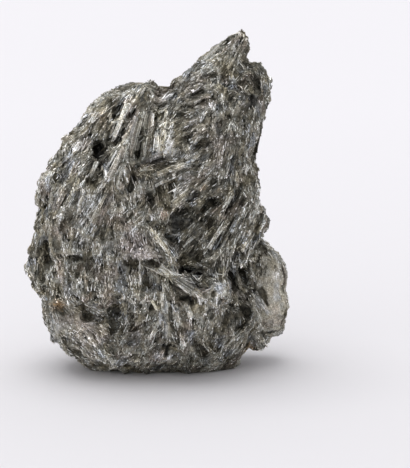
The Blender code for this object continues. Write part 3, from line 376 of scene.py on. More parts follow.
# Where the surface is worn smooth, in the same way
SMOOTH = [
    (38.8, 25, 6, 14, 0, 1), (-33, 16.5, 4, 3, 0, 0.7), (-33.5, 46.5, 3, 4, 0, 0.6),
    (26.5, 99.8, 1.4, 2.2, 0, 0.9), (-25, 17.5, 6, 2.4, -20, 0.8), (2.4, 20, 2.4, 6, 0, 0.5),
    (21, 27, 4.5, 4.5, 0, 0.5), (-20, 91, 6, 4, 50, 0.4),
]

# Where the rim stands out more or less than the construction's flat faces, by an amount in mm
SWELLS = [
    (-39, 64, 18, 6, 78, -1.2), (-30, 83, 9, 5, 50, -1.5), (-41, 49, 6, 4, 90, -0.8),
    (34.6, 74, 6.5, 4, 90, -1.5), (28, 114, 3, 3, 0, 1), (14, 104, 14, 4, 42, -0.6),
    (0.4, 95.6, 3, 2.4, 0, -0.2), (30.5, 105.5, 2, 2, 0, -0.9), (35, 56, 4, 3, 90, -0.6),
    (-31, 9, 6, 4, -50, 1), (-37, 17, 5, 3, -70, 0.6), (38.5, 12, 5, 4, 35, 1.1),
    (43, 19, 5, 3, 80, 0.7), (31, 109, 4, 3, 90, 0.8), (34.5, 102.5, 4, 3, -40, 0.8),
    (36.8, 89.2, 3.4, 3, 60, 1.4), (-3, 98, 2.4, 2.4, 0, -0.2), (-10, 97, 3, 3, 0, 0.4),
    (38, 97, 3, 2, 90, -0.6), (-31, 8, 3.4, 2, -50, 1), (40, 13.4, 4, 2, 30, 1),
]

# Stains, as spots with an amount and a colour
STAINS = [
    (-33, 23, 2.4, 1.8, 20, 0.85, OCHRE), (30.6, 8.6, 1.6, 1.4, 0, 0.8, OCHRE),
    (24.6, 4.6, 1.4, 1, 0, 0.6, STRAW), (2.2, 53.2, 1.6, 1.2, 0, 0.8, ORANGE_PINK),
    (-18.6, 85.6, 2.6, 1.6, 60, 0.55, OCHRE), (-13.4, 95, 3.4, 1.8, 30, 0.45, BEIGE),
    (-28.4, 46.6, 4, 1.8, 80, 0.55, STRAW), (-31.6, 48, 3.4, 2, 80, 0.4, ROSE_BROWN),
    (-17.4, 56.4, 7, 1.7, 68, 0.6, ROSE_BROWN), (-23.4, 53, 6.6, 1.7, 52, 0.6, STEEL_BLUE),
    (-7.6, 43, 5.4, 4.6, 0, 0.8, ROSE_GREY), (-5, 40, 6, 1.8, 0, 0.6, ROSE_GREY),
    (6.4, 79, 6.6, 2.4, 80, 0.5, STRAW), (6.6, 72.4, 3.4, 1.4, 10, 0.45, STEEL_BLUE),
    (17, 87, 5, 2.4, 20, 0.35, STEEL_BLUE), (20, 83, 3, 1.6, 30, 0.35, ROSE_BROWN),
    (3.5, 67.2, 4.4, 1.5, 16, 0.5, BEIGE), (-24, 17, 6, 3, -20, 0.5, ROSE_BROWN),
    (38.5, 27, 5.6, 14, 0, 0.55, BEIGE), (2, 43, 5, 1.2, -52, 0.55, STRAW),
    (-32, 34.8, 4.6, 1.2, 96, 0.6, ORANGE_PINK), (-7.8, 66.6, 1.8, 3.4, 24, 0.7, OLIVE_BROWN),
    (-24, 54, 4.4, 1.3, 56, 0.6, PALE_BLUE), (-5, 79.6, 8, 2, 80, 0.6, GREEN_GREY),
    (-12, 71, 8, 2.4, 66, 0.4, GREEN_GREY), (-26.4, 43.4, 2.8, 2.2, 0, 0.6, PALE_BLUE),
    (-16, 42.2, 3, 1.6, 50, 0.5, PALE_BLUE), (-19.4, 37, 1.6, 1.6, 0, 0.6, PALE_BLUE),
    (3.2, 92, 3.2, 2, 30, 0.5, PALE_BLUE), (-33, 16.6, 3.6, 2.8, 0, 0.5, PALE_BLUE),
    (32.5, 10.5, 1.6, 1.2, 0, 0.6, PALE_BLUE), (7, 61.6, 2.6, 1.8, 40, 0.5, PALE_BLUE),
    (-22, 3, 2.4, 1, 0, 0.6, OLIVE_BROWN), (22, 24.5, 1, 0.8, 0, 0.6, OCHRE),
    (-27.6, 27.6, 2, 1.4, 0, 0.4, PALE_BLUE), (-16.4, 26.6, 3.4, 1.6, 60, 0.45, ORANGE_PINK),
    (-7, 14.4, 3, 3, 0, 0.45, ROSE_BROWN), (14.6, 82, 4, 3, 0, 0.4, ROSE_GREY),
    (21, 77, 5, 3, 0, 0.35, ROSE_GREY), (31, 8.2, 2.2, 1.8, 0, 0.95, OCHRE),
    (-24, 13, 4.5, 3.5, 0, 0.3, ORANGE_PINK), (-8.6, 17, 2, 3.4, 0, 0.22, OCHRE),
    (-7, 5, 2.4, 1.6, 0, 0.38, STRAW), (4, 74.4, 2, 3.6, 0, 0.5, PALE_BLUE),
    (-19, 74.4, 3, 2, 0, 0.4, GREEN_GREY), (-22.4, 54, 1.8, 5, -20, 0.45, PALE_BLUE),
    (20, 71.6, 3, 3, 0, 0.34, ROSE_GREY), (12, 95, 5, 4, 0, 0.3, ROSE_GREY),
    (-29, 47.4, 3, 2, 0, 0.28, ORANGE_PINK), (-17.6, 25.4, 2, 2.6, 0, 0.18, OCHRE),
    (28, 25, 5, 4, 0, 0.25, GREEN_GREY), (15, 5, 8, 5, 0, 0.2, GREEN_GREY),
    (25, 76, 4, 5, 0, 0.2, GREEN_GREY),
]

# Faint stains all over: colour, size of the patches in mm, seed, and how rare they are
STAIN_CLOUDS = [
    (STRAW, 5.0, 31.0, 0.16), (ROSE_BROWN, 6.0, 37.0, 0.24), (STEEL_BLUE, 4.5, 41.0, 0.22),
    (OCHRE, 4.0, 47.0, 0.55),
]

# Clefts of the broad face, carved into the mass and painted dark as their shade, a few where blades
# cast shadows beside them: x and v of both ends, half-width, depth
CLEFTS = [
    (-13.4, 89.6, -13.3, 86, 0.9, 2.2), (-11.6, 90, -13.2, 87, 0.9, 1.4),
    (-12.6, 79.5, -13.4, 76.8, 0.8, 2), (-13, 78, -10.6, 84.6, 0.4, 1.3),
    (-8.8, 86.2, -7.2, 88, 0.7, 1.7), (-4.6, 84, -5.8, 75, 0.8, 1.2), (-5.8, 76, -6.2, 71.8, 0.6, 2),
    (-19.9, 76.6, -19.2, 72.6, 1.7, 2.2), (-19.6, 72, -22.6, 66.6, 0.5, 2.4),
    (-22.6, 66.6, -22.9, 64, 0.5, 2), (-32.2, 71.8, -31.2, 69.4, 0.8, 1.4),
    (-33.8, 70.2, -33.4, 69, 0.5, 1.3), (-19.4, 66.3, -17.8, 67, 0.6, 1.8),
    (-19.6, 70, -19, 68.4, 0.6, 1.6), (-16.4, 70, -15.6, 68.4, 0.6, 2),
    (-34.2, 66.2, -32.2, 64.6, 0.6, 1.3), (-22.8, 81.8, -22.4, 79.3, 0.5, 1.4),
    (-15.8, 86, -16.4, 80.5, 0.5, 1.5), (-15.4, 91.5, -15.6, 88.5, 0.5, 1.3),
    (3.6, 96.4, 5.6, 95.6, 0.7, 1.5), (-3.6, 93.5, -3, 89, 1.6, 0.7), (-1.8, 82, -1, 76.2, 0.4, 1.3),
    (0.4, 86.8, -0.9, 80.4, 0.4, 1.4), (3.8, 64.8, 5.8, 63.4, 0.6, 1.5), (-2, 71.3, 3, 71.8, 0.5, 1.1),
    (-6.8, 69.2, -9, 61.4, 0.9, 2.4), (-2.6, 59.4, -1, 55.6, 1.3, 1.4),
    (-3.8, 50.9, -3, 50.7, 0.5, 1.3), (6, 52.6, 12.5, 53.6, 1.9, 1.3), (2, 50.2, 9.5, 49, 0.9, 1),
    (16.8, 58.2, 18.8, 56.6, 1.1, 1.4), (14.5, 52.5, 19, 50.5, 1.3, 1), (8.4, 42, 12, 45.4, 0.9, 1.1),
    (5.8, 44.6, 9.6, 42.8, 0.8, 1.2), (10.5, 38.5, 17.5, 40.5, 1.2, 1), (7.2, 37.6, 8.4, 37, 0.7, 1.6),
    (9.6, 33.8, 14.8, 31, 1.5, 3), (1, 32.4, 5.4, 30.6, 1, 1.4), (5.4, 30.5, 10, 27.6, 0.6, 1.7),
    (7, 26.5, 9.8, 26.7, 0.6, 1.9), (7, 25.2, 10.4, 25.4, 0.4, 1.5), (11.2, 25.4, 11.8, 23.4, 0.9, 1.8),
    (-10.2, 37, 0.2, 36.6, 0.8, 1.3), (-29.6, 38.8, -21, 37.6, 0.8, 1.2),
    (-24.5, 36.8, -21, 36.2, 0.9, 1.3), (-37.8, 43.4, -36.2, 37.2, 1.2, 1.8),
    (-40, 38, -39.6, 34.2, 1.2, 1.8), (-37.6, 60.8, -38.6, 56.2, 0.7, 1.6),
    (-39.2, 55.8, -37, 56.4, 0.6, 1.6), (-38.6, 45.6, -37.6, 46.8, 0.4, 1.2),
    (-42.8, 40.6, -41.8, 36.8, 0.5, 1.1), (-38.8, 33.4, -38.4, 31, 0.7, 1.2),
    (-37.4, 28.8, -36.4, 26.4, 0.7, 1.3), (-35.2, 25.2, -33.4, 25.6, 0.8, 1.4),
    (-25, 22.4, -23.6, 19.6, 0.9, 1.4), (-22.5, 18.9, -17, 17.6, 0.7, 1),
    (-18.6, 18.8, -14.2, 20, 0.8, 1.2), (-15.8, 21, -12.6, 20.4, 0.9, 1.4),
    (-15, 19.6, -15.4, 13, 0.8, 1.3), (-12.6, 16.8, -11.8, 15.6, 0.8, 1.4),
    (-13.4, 25.2, -13.6, 23.2, 0.7, 1.5), (-24.2, 28.6, -23.8, 26.8, 0.8, 1.2),
    (-21.6, 28.4, -20.8, 27.2, 0.8, 1.2), (-32.6, 11.8, -31.4, 10.8, 0.7, 1.3),
    (-21, 2.6, -9, 2.2, 0.5, 1.2), (-9.4, 14.4, -6.8, 15.2, 0.6, 1.5), (0.6, 16, -0.2, 11, 0.5, 1.5),
    (4.8, 21.5, 4.6, 17.4, 0.6, 1.6), (6.4, 13.6, 7.2, 10, 0.7, 1.7), (5.4, 15.5, 6.4, 13, 0.5, 1.5),
    (2.2, 9, 5.4, 8.8, 0.6, 1.8), (3.2, 8, 3, 6.2, 0.4, 1.5), (-2.2, 21.8, -1.4, 22.6, 0.8, 1.3),
    (-3.4, 19.4, -2, 18.6, 0.7, 1.3), (-8.8, 5.6, -7, 6.2, 0.4, 1.4), (14.2, 8.8, 16, 6.6, 1.2, 1.8),
    (12.6, 9.6, 14, 8.6, 0.8, 1.4), (3, 2, 6, 1.4, 0.8, 1), (22.6, 17.2, 24.4, 19.8, 1, 1.6),
    (24.5, 22.6, 29.5, 21.4, 1.1, 1.3), (28.6, 17.8, 30.6, 20.6, 1.1, 1.7),
    (28.4, 16.8, 30.2, 15.6, 0.9, 1.4), (31.2, 12.8, 32, 11.2, 0.9, 1.3),
    (29.8, 36.4, 27.6, 34.6, 1.1, 2), (24.2, 33.6, 27.4, 29, 1, 2.2), (26.2, 29.6, 31, 27, 1.1, 2.2),
    (31, 28.4, 34, 27, 0.9, 1.6), (28.4, 26.6, 30.4, 24.6, 0.4, 2), (34.8, 28, 36.6, 22.8, 0.9, 1.6),
    (18.4, 27.2, 18.8, 26, 0.6, 1.7), (21.2, 24.9, 21.6, 24.1, 0.5, 1.2),
    (28.4, 63, 24.8, 56, 0.7, 1.8), (23.8, 54.6, 21.8, 50.2, 0.6, 1.7), (30, 54, 27.6, 50, 0.4, 1.3),
    (32.2, 51.9, 31.4, 50.2, 0.6, 1.5), (35.4, 53, 34.2, 50, 0.5, 1.3), (33.4, 46, 32.8, 42, 0.7, 1.3),
    (26.8, 43, 26.2, 38, 0.4, 1.1), (19.4, 44.4, 17, 40.4, 0.6, 1.5),
    (19.6, 63.8, 17.8, 62.6, 0.7, 1.3), (14.8, 36, 20.4, 36.6, 1.1, 1.2),
    (35, 40.6, 34.2, 38.6, 0.9, 0.9), (32.6, 98.6, 34.6, 95.4, 1.3, 1.6),
    (31.6, 102.6, 34.4, 103, 0.8, 0.8), (26.4, 100.4, 27.4, 97.8, 0.8, 1),
    (31.8, 92, 33.2, 90.4, 1.1, 1.3), (10, 92.4, 15, 94.8, 0.5, 1.4), (11.6, 88.8, 15.4, 91, 0.5, 1.6),
    (8, 89.2, 12.4, 89, 0.5, 1.3), (7, 86.6, 9.8, 86.2, 0.6, 1.3), (18.4, 91.8, 20, 91.4, 0.6, 1.3),
    (23.2, 86.4, 24.6, 85.6, 0.6, 1.5), (14.8, 96.4, 16.4, 97.4, 0.4, 1.1),
    (9.6, 100, 11.4, 100.6, 0.5, 1.2), (29.6, 107.6, 31, 106.8, 0.5, 1.1),
    (-16.4, 58.6, -20.2, 49, 0.4, 1.3),
]

# Ridges of the broad face: x and v of both ends, half-width, height
RIDGES = [
    (-9.4, 90.6, -14.3, 79, 0.8, 1.8), (-14.6, 89, -14.2, 81, 0.6, 1.1),
    (-5.6, 95.6, -9, 88.6, 1.6, 1.2), (-6.4, 86.8, -8.6, 76, 1.5, 1.2), (-9.4, 78, -11.6, 64, 1.5, 1.4),
    (-12.2, 76.8, -18, 67.6, 0.8, 1.4), (-10.8, 75.6, -15.6, 66, 0.8, 1.2),
    (-20, 71, -22, 66.2, 0.6, 1), (-17.4, 69.4, -17.2, 66, 0.5, 1.2), (3.2, 87, 3.8, 80, 0.6, 1),
    (1, 84, 0.6, 77, 0.8, 0.8), (4.6, 80, 3.4, 73, 0.7, 1), (1, 90.6, 4, 93.4, 0.8, 0.8),
    (-0.4, 86, 3.2, 89.2, 0.5, 0.8), (2, 66.6, 7.4, 68.4, 0.7, 1), (1, 63.4, 4.4, 65.6, 0.5, 0.9),
    (-29.6, 71.5, -26.8, 73.6, 1.8, 1.4), (-27.5, 76, -25.5, 77, 0.9, 1.2),
    (-2.6, 48.2, 6.4, 37.8, 1.2, 1.9), (0.8, 35.2, 12.4, 27.6, 1.6, 2.2),
    (5.2, 41.2, 6.8, 35.6, 0.7, 1.3), (22, 39.6, 22.4, 33, 0.5, 1.3), (22.6, 33, 26, 29.2, 0.8, 1.4),
    (-10.5, 39.4, -1.5, 39.6, 1.5, 1.6), (-19, 39.6, -15, 36.6, 0.6, 1.1),
    (-20, 35.6, -14.4, 34.8, 0.6, 0.9), (-26.8, 18.6, -21.4, 15.8, 1.4, 1),
    (-17.2, 17.6, -18.2, 13.4, 0.5, 1.2), (0.8, 18, -1.6, 10.4, 0.5, 1.5),
    (-1.4, 24.4, 0.2, 21.2, 0.6, 1.2), (2.4, 27.5, 2.8, 10.5, 1.5, 1.1), (6.6, 24, 7.4, 16, 1, 0.9),
    (4.4, 7.6, 4.2, 4.4, 0.9, 1.3), (-5.6, 15, -4.6, 10.6, 0.5, 0.9), (14.4, 27, 14.8, 23.6, 0.8, 1.2),
    (33.6, 26, 37, 20.6, 0.8, 1.2), (31.4, 24.6, 34.4, 18, 1, 1.2), (15.2, 9.6, 17, 7.6, 0.4, 1.2),
    (24.8, 59.6, 22.4, 55, 0.6, 1.2), (29, 55, 25, 48, 0.8, 1.2), (33.8, 55, 31, 47, 0.9, 1.2),
    (21.4, 48.6, 17.4, 42.4, 0.7, 1), (29.6, 39.4, 27.4, 36, 0.8, 1.4), (26, 46, 25.4, 38, 0.8, 0.8),
    (12, 91.2, 15.6, 92.6, 1, 1.2), (12, 95.6, 17, 97, 1.2, 0.9), (36.6, 99, 37.6, 94, 0.9, 0.8),
    (-20, 30, -16, 24, 1, 1), (-28, 33, -27, 27, 1, 1), (-33.6, 31, -31.6, 36, 0.9, 0.9),
    (-8.6, 27, -8, 32, 1, 1), (-11, 25, -11.6, 29, 0.7, 0.9),
]

# Long blades of the broad face: x and v of both ends, spread beside each end, number of laths,
# width of a lath, height over the mass, tone. Some of the lightest tones are painted glints, and the
# darkest, in a groove, is painted darker as its shade.
BLADES = [
    (-9.6, 90.2, -14.3, 79, 0.5, 0.35, 4, 0.7, 0.6, 0.2),
    (-14.8, 89.4, -13.7, 84.6, 0.3, 0.3, 3, 0.6, 0.5, 0.2),
    (-14.6, 84.6, -15.6, 79, 0.5, 0.4, 4, 0.6, 0.3, 0.15),
    (-5.2, 95.8, -9.6, 87.6, 1.5, 1.1, 12, 0.6, 0.3, 0.2),
    (-4.6, 87.6, -7.6, 75, 2.3, 1.4, 20, 0.5, 0.3, 0.05),
    (-7.4, 86, -11.4, 72.6, 1.3, 1.3, 14, 0.5, 0.3, 0.15),
    (-9, 76, -12.6, 62, 1.4, 1.5, 15, 0.5, 0.3, 0.15),
    (-12.2, 76.8, -18, 67.8, 0.6, 0.9, 7, 0.6, 0.5, 0.4),
    (-10.8, 75.6, -15.8, 65.6, 0.7, 0.9, 8, 0.5, 0.4, 0.25),
    (-17.3, 69.6, -17.1, 65.8, 0.3, 0.3, 4, 0.5, 0.5, 0.6),
    (-20, 71.2, -22.2, 65.8, 0.4, 0.5, 4, 0.6, 0.4, 0.1),
    (-3.6, 84.5, -4.4, 72.4, 0.7, 0.7, 7, 0.5, 0.1, -0.3),
    (-2, 87, -2.6, 74.5, 0.9, 0.9, 8, 0.5, 0.3, 0), (0.4, 85, -0.4, 75, 0.7, 0.8, 8, 0.5, 0.3, 0.1),
    (3, 87.4, 1.4, 74.4, 0.4, 1.2, 11, 0.5, 0.4, 0.45),
    (3.2, 87.6, 4.4, 73.4, 0.3, 0.9, 9, 0.5, 0.4, 0.5),
    (4.6, 79.6, 4, 73.4, 0.3, 0.4, 5, 0.4, 0.4, 0.7),
    (-5, 70.4, 1.4, 73.4, 0.5, 0.7, 7, 0.5, 0.4, 0.25), (0.4, 66, 9, 69.6, 1.1, 0.8, 11, 0.5, 0.3, 0.3),
    (-0.4, 62.8, 6.2, 66.2, 0.3, 0.4, 5, 0.5, 0.4, 0.6), (5.5, 57, 11, 61.5, 1.3, 1, 9, 0.6, 0.3, 0.3),
    (0.8, 90.4, 4.2, 93.8, 0.4, 0.5, 5, 0.5, 0.3, 0.7),
    (-0.6, 85.8, 3.4, 89.4, 0.3, 0.4, 4, 0.5, 0.3, 0.3),
    (-2, 48, 4.2, 40.4, 0.5, 0.5, 8, 0.4, 0.4, 0.35), (-0.4, 46.4, 7, 35.4, 0.6, 0.6, 9, 0.5, 0.4, 0.2),
    (3, 46.2, 7.6, 46.9, 0.2, 0.2, 3, 0.5, 0.5, 0.7),
    (0.8, 35.4, 11.8, 28, 1.5, 1.4, 19, 0.5, 0.5, 0.2),
    (9, 35.4, 21.8, 32.4, 0.2, 0.3, 4, 0.5, 0.9, 0.25),
    (22, 39.6, 22.3, 32.6, 0.2, 0.2, 3, 0.4, 0.5, 0.1),
    (22.4, 33.6, 26.2, 28.8, 0.4, 0.5, 7, 0.5, 0.4, 0.2),
    (12, 30.2, 14.4, 26.8, 0.1, 0.1, 2, 0.5, 0.5, 0.5),
    (6.2, 28.6, 8, 26.4, 0.2, 0.2, 4, 0.5, 0.5, 0.9),
    (14.2, 28.6, 14.6, 23.4, 0.4, 0.5, 6, 0.6, 0.4, 0.9),
    (0.9, 18.2, -1.6, 10.2, 0.2, 0.2, 5, 0.5, 0.5, 0.8),
    (-1.8, 24.6, 0.4, 20.8, 0.4, 0.2, 5, 0.5, 0.4, 0.6),
    (2.4, 14.2, -0.6, 9.4, 0.3, 0.3, 4, 0.5, 0.4, 0.4),
    (3.6, 13.2, 0.4, 8, 0.4, 0.4, 4, 0.5, 0.4, 0.25), (1.8, 27, 1.6, 16, 0.7, 0.7, 9, 0.5, 0.3, 0.1),
    (3.6, 24, 3.4, 12, 0.8, 0.9, 10, 0.5, 0.3, -0.05), (6.8, 23, 7.2, 15, 0.6, 0.7, 7, 0.5, 0.3, 0.15),
    (4.6, 8, 4.2, 4, 0.5, 0.6, 7, 0.6, 0.4, 0.7), (-17, 18.2, -18.4, 12.8, 0.2, 0.4, 5, 0.5, 0.4, 0.5),
    (30.4, 28.2, 32.6, 25.2, 0.2, 0.2, 3, 0.5, 0.5, 0.6),
    (27.8, 27.4, 29.4, 25.2, 0.2, 0.2, 3, 0.5, 0.4, 0.4),
    (32.8, 27, 37.2, 20.2, 0.7, 0.7, 10, 0.5, 0.3, 0.3),
    (30.6, 25.6, 34.6, 17.4, 1.1, 0.9, 15, 0.5, 0.3, 0.25),
    (15, 9.8, 17.2, 7.4, 0.2, 0.2, 3, 0.5, 0.6, 0.8),
    (14.6, 12.2, 18.6, 9.6, 0.4, 0.4, 4, 0.5, 0.4, 0.2),
    (28.8, 55.6, 24.6, 47.6, 0.7, 0.8, 11, 0.5, 0.3, 0.1),
    (24.8, 59.8, 22, 54.6, 0.4, 0.5, 7, 0.5, 0.4, 0.2),
    (33.6, 56, 30.2, 46, 0.9, 1.1, 13, 0.5, 0.3, 0.1), (21.6, 49, 17, 42, 0.6, 0.6, 8, 0.5, 0.3, 0.2),
    (30, 40, 27, 35.8, 0.7, 0.6, 10, 0.5, 0.4, 0.05),
    (25.6, 47, 25, 37.4, 0.8, 0.7, 11, 0.5, 0.3, 0.05),
    (-20.6, 56.8, -25.6, 50, 0.8, 0.7, 11, 0.4, 0.3, 0.15),
    (-14.8, 60, -19.6, 50, 0.4, 0.7, 9, 0.4, 0.3, 0),
    (-17, 60, -21.6, 50.6, 0.4, 0.6, 8, 0.4, 0.2, -0.1),
    (7.6, 97.6, 20.6, 109.4, 0.7, 0.7, 12, 0.5, 0.2, 0.15),
    (28.2, 98.2, 30.4, 102.6, 0.1, 0.1, 3, 0.5, 0.4, 0.6),
    (12.4, 46, 8.6, 42.6, 0.6, 0.6, 6, 0.5, 0.3, -0.1),
]

# White flecks of the broad face, partly pale quartz and partly painted glints: x, v, radius
FLECKS_AND_GLINTS = [
    (-26.6, 76.2, 1.9), (17.9, 89.4, 1.3), (13.2, 100.8, 0.8), (17, 96.2, 0.5), (-1.6, 52.4, 1.1),
    (1, 54.6, 0.8), (-10.6, 57.8, 0.6), (-13.2, 53, 0.5), (3.6, 74.2, 1.3), (4.6, 77.4, 0.9),
    (5.6, 73.2, 0.8), (39.9, 33, 1.1), (20.4, 20.8, 0.6), (20.2, 25.2, 0.6), (19, 23.2, 0.6),
    (14.6, 24.6, 0.8), (13.2, 25.8, 0.6), (16.2, 24, 0.6), (4.2, 5.4, 0.8), (-29.6, 19.8, 0.6),
    (-32.2, 31, 0.8), (-9, 6.4, 0.8), (-18.2, 14.4, 0.4), (15, 37.4, 0.5), (-16.8, 46.6, 0.5),
    (-38.4, 44.6, 0.6), (20.6, 16.6, 0.5), (35.2, 15.2, 0.5), (-10.8, 43, 0.6), (-23, 38.5, 0.6),
    (28.4, 90, 0.5), (21, 99, 0.5), (26.4, 57.4, 0.3), (-20, 84.6, 0.5), (26, 6.6, 0.6),
]


# ------------------------------------------------------------------------------ helpers
def deselect_all():
    for item in bpy.context.view_layer.objects:
        item.select_set(False)


def make_active(item):
    deselect_all()
    item.select_set(True)
    bpy.context.view_layer.objects.active = item


def apply_modifier(item, kind, **settings):
    modifier = item.modifiers.new(kind.lower(), kind)
    for key, value in settings.items():
        setattr(modifier, key, value)
    make_active(item)
    bpy.ops.object.modifier_apply(modifier=modifier.name)


def stored(items, field, kind=np.float32):
    """A field of three numbers of every item of a mesh, a row for each."""
    values = np.empty(len(items) * 3, kind)
    items.foreach_get(field, values)
    return values.reshape(-1, 3)


def vertex_places(mesh):
    return stored(mesh.vertices, "co").astype(float)


def vertex_normals(mesh):
    return stored(mesh.vertex_normals, "vector").astype(float)


def unit(vectors):
    return vectors / np.maximum(np.linalg.norm(vectors, axis=-1, keepdims=True), 1e-12)


def dots(a, b):
    return np.einsum("ij,ij->i", a, b)


def turned_to(vectors, others, angles):
    """Each vector turned towards the one beside it, by its angle."""
    return vectors * np.cos(angles)[:, None] + others * np.sin(angles)[:, None]


def laid_along(vectors, normals):
    """The direction of each vector, laid along the surface."""
    return unit(vectors - normals * dots(vectors, normals)[:, None])


def to_part(place):
    """A place of the face's own frame, in millimetres, as a place of the part."""
    return FACE_TO_PART @ Vector(place) + FOOT_SHIFT


def on_face(points):
    """x and v of each point, in millimetres on the broad face as the camera sees it."""
    to_face = np.array(FACE_TO_PART.inverted())
    flat = (points - np.array(FOOT_SHIFT)) @ to_face.T
    scale = CAMERA_DISTANCE / (flat[:, 1] - EYE.y)
    return AIM.x + (flat[:, 0] - AIM.x) * scale, AIM.z + (flat[:, 2] - AIM.z) * scale


def spot_share(x, v, spot):
    """1 in the middle of a spot of the face, fading to 0 outside it."""
    spot_x, spot_v, half_length, half_width, degrees = spot[:5]
    turn = math.radians(degrees)
    along = (x - spot_x) * math.cos(turn) + (v - spot_v) * math.sin(turn)
    across = (v - spot_v) * math.cos(turn) - (x - spot_x) * math.sin(turn)
    return np.exp(-((along / half_length) ** 2 + (across / half_width) ** 2) ** SPOT_EDGE)


def stroke_share(x, v, stroke):
    """1 along the middle of a stroke of the face, fading to 0 beside it."""
    x_a, v_a, x_b, v_b, half_width = stroke[:5]
    long_x = x_b - x_a
    long_v = v_b - v_a
    place = ((x - x_a) * long_x + (v - v_a) * long_v) / (long_x * long_x + long_v * long_v)
    place = np.clip(place, 0.0, 1.0)
    gap = np.hypot(x - x_a - place * long_x, v - v_a - place * long_v)
    return np.exp(-(gap / half_width) ** STROKE_EDGE)


def strongest(x, v, marks, share):
    """The amount of the strongest of a list of spots or strokes at each place."""
    total = np.zeros(len(x))
    for mark in marks:
        total = np.maximum(total, mark[5] * share(x, v, mark))
    return total


def facing_front(normals):
    """1 where the surface faces the front, fading to 0 at the rim."""
    return np.clip(0.15 - normals @ INTO * 1.6, 0.0, 1.0)


def front_share(normals):
    """1 on what faces the front, fading to 0 on what faces the rear."""
    return 1.0 / (1.0 + np.exp(normals @ INTO * 6.0 - 1.0))


def noise_at(points, size, seed):
    """Smooth noise of about -1 to 1 at each point."""
    shift = Vector((seed, -seed, 2.0 * seed))
    return np.array([noise.noise(Vector(point) / size + shift) for point in points])


def patches(points, size, seed, contrast, share, most=1.0):
    """Noise as patches of 0 to 1 or to the most given: a higher share makes more of them."""
    return np.clip(noise_at(points, size, seed) * contrast + share, 0.0, most)


def chance(*keys):
    """A fixed random number from 0 to 1 for whole-number keys."""
    total = np.zeros(np.shape(keys[0]))
    for key, factor in zip(keys, (127.1, 311.7, 74.7, 191.9)):
        total = total + np.asarray(key, float) * factor
    wave = np.sin(total) * 43758.5453
    return wave - np.floor(wave)


# ------------------------------------------------------------------------------ the sheaves
class Sheaves:
    """The direction of growth all over the specimen."""

    def __init__(self, tree):
        self.centres = []
        self.outwards = []
        self.alongs = []
        eye = to_part(EYE)
        for x, v, degrees in FACE_SHEAVES:
            way = (to_part((x, AIM.y, v)) - eye).normalized()
            self.add(tree, eye, way, CAMERA_DISTANCE, degrees)
        for x, v, degrees in REAR_SHEAVES:
            self.add(tree, to_part((x, OUTSIDE, v)), -INTO_FACE, OUTSIDE, degrees)
        for azimuth, height, degrees in SIDE_SHEAVES:
            turn = math.radians(azimuth)
            rise = math.radians(height)
            level = math.cos(rise)
            outward = FACE_TO_PART @ Vector(
                (level * math.cos(turn), level * math.sin(turn), math.sin(rise))
            ).normalized()
            start = HEART + outward * OUTSIDE
            self.add(tree, start, -outward.normalized(), OUTSIDE, degrees)
        self.centres = np.array(self.centres)
        self.outwards = np.array(self.outwards)
        self.alongs = np.array(self.alongs)

    def add(self, tree, start, way, reach, degrees):
        """A sheaf where a line from outside meets the surface, or passes nearest to it."""
        hit, normal = tree.ray_cast(start, way)[:2]
        if hit is None:
            hit, normal = tree.find_nearest(start + way * (reach * MM))[:2]
        turn = math.radians(degrees)
        flat = FACE_TO_PART @ Vector((math.cos(turn), 0.0, math.sin(turn)))
        flat -= normal * flat.dot(normal)
        self.centres.append(hit)
        self.outwards.append(normal)
        self.alongs.append(flat.normalized())

    def nearest(self, points, normals):
        """The sheaf that each point of the surface belongs to."""
        best = np.full(len(points), np.inf)
        index = np.zeros(len(points), int)
        for number in range(len(self.centres)):
            offset = points - self.centres[number]
            along = offset @ self.alongs[number]
            gap = dots(offset, offset) - SHEAF_STRETCH * along * along
            turned = 1.0 - normals @ self.outwards[number]
            gap = gap + (SHEAF_TURN * turned) ** 2
            closer = gap < best
            best[closer] = gap[closer]
            index[closer] = number
        return index

    def within(self, points, normals):
        """The sheaf of each point, the way to the point from its centre, and its three axes."""
        index = self.nearest(points, normals)
        along = self.alongs[index]
        outward = self.outwards[index]
        return index, points - self.centres[index], along, np.cross(outward, along), outward

    def directions(self, points, normals):
        """The direction of growth at each point, fanning out a little over its sheaf."""
        index = self.nearest(points, normals)
        along = self.alongs[index]
        across = np.cross(normals, along)
        fan = dots(points - self.centres[index], across) / SHEAF_WIDTH
        return laid_along(along + across * fan[:, None] * -SHEAF_FAN, normals)


# ------------------------------------------------------------------------------ relief
def drawn_height(points, normals):
    """How high the ridges and how deep the clefts are at each place, in millimetres."""
    x, v = on_face(points)
    x = x + WAVER * noise_at(points, WAVER_SIZE, seed=71.0)
    v = v + WAVER * noise_at(points, WAVER_SIZE, seed=73.0)
    rise = strongest(x, v, RIDGES, stroke_share)
    fall = strongest(x, v, CLEFTS, stroke_share)
    front = facing_front(normals)
    return rise * np.clip(1.0 - 2.0 * fall, 0.0, 1.0) * front, fall * front


def hidden_height(points, normals, sheaves):
    """Ridges and clefts of the sides and the rear, along their sheaves."""
    index, offset, along_axis, across_axis, _ = sheaves.within(points, normals)
    along = dots(offset, along_axis)[:, None] * along_axis
    across = dots(offset, across_axis)[:, None] * across_axis
    place = along * 0.22 + across + offset * 0.05 + 0.05 * chance(index, 3)[:, None]
    furrow = noise_at(place, 2.4 * MM, seed=83.0)
    away = 1.0 - facing_front(normals)
    rise = 1.6 * np.clip(furrow - 0.15, 0.0, 0.6) * away
    fall = 4.5 * np.clip(-furrow - 0.25, 0.0, 0.6) * away
    return rise, fall


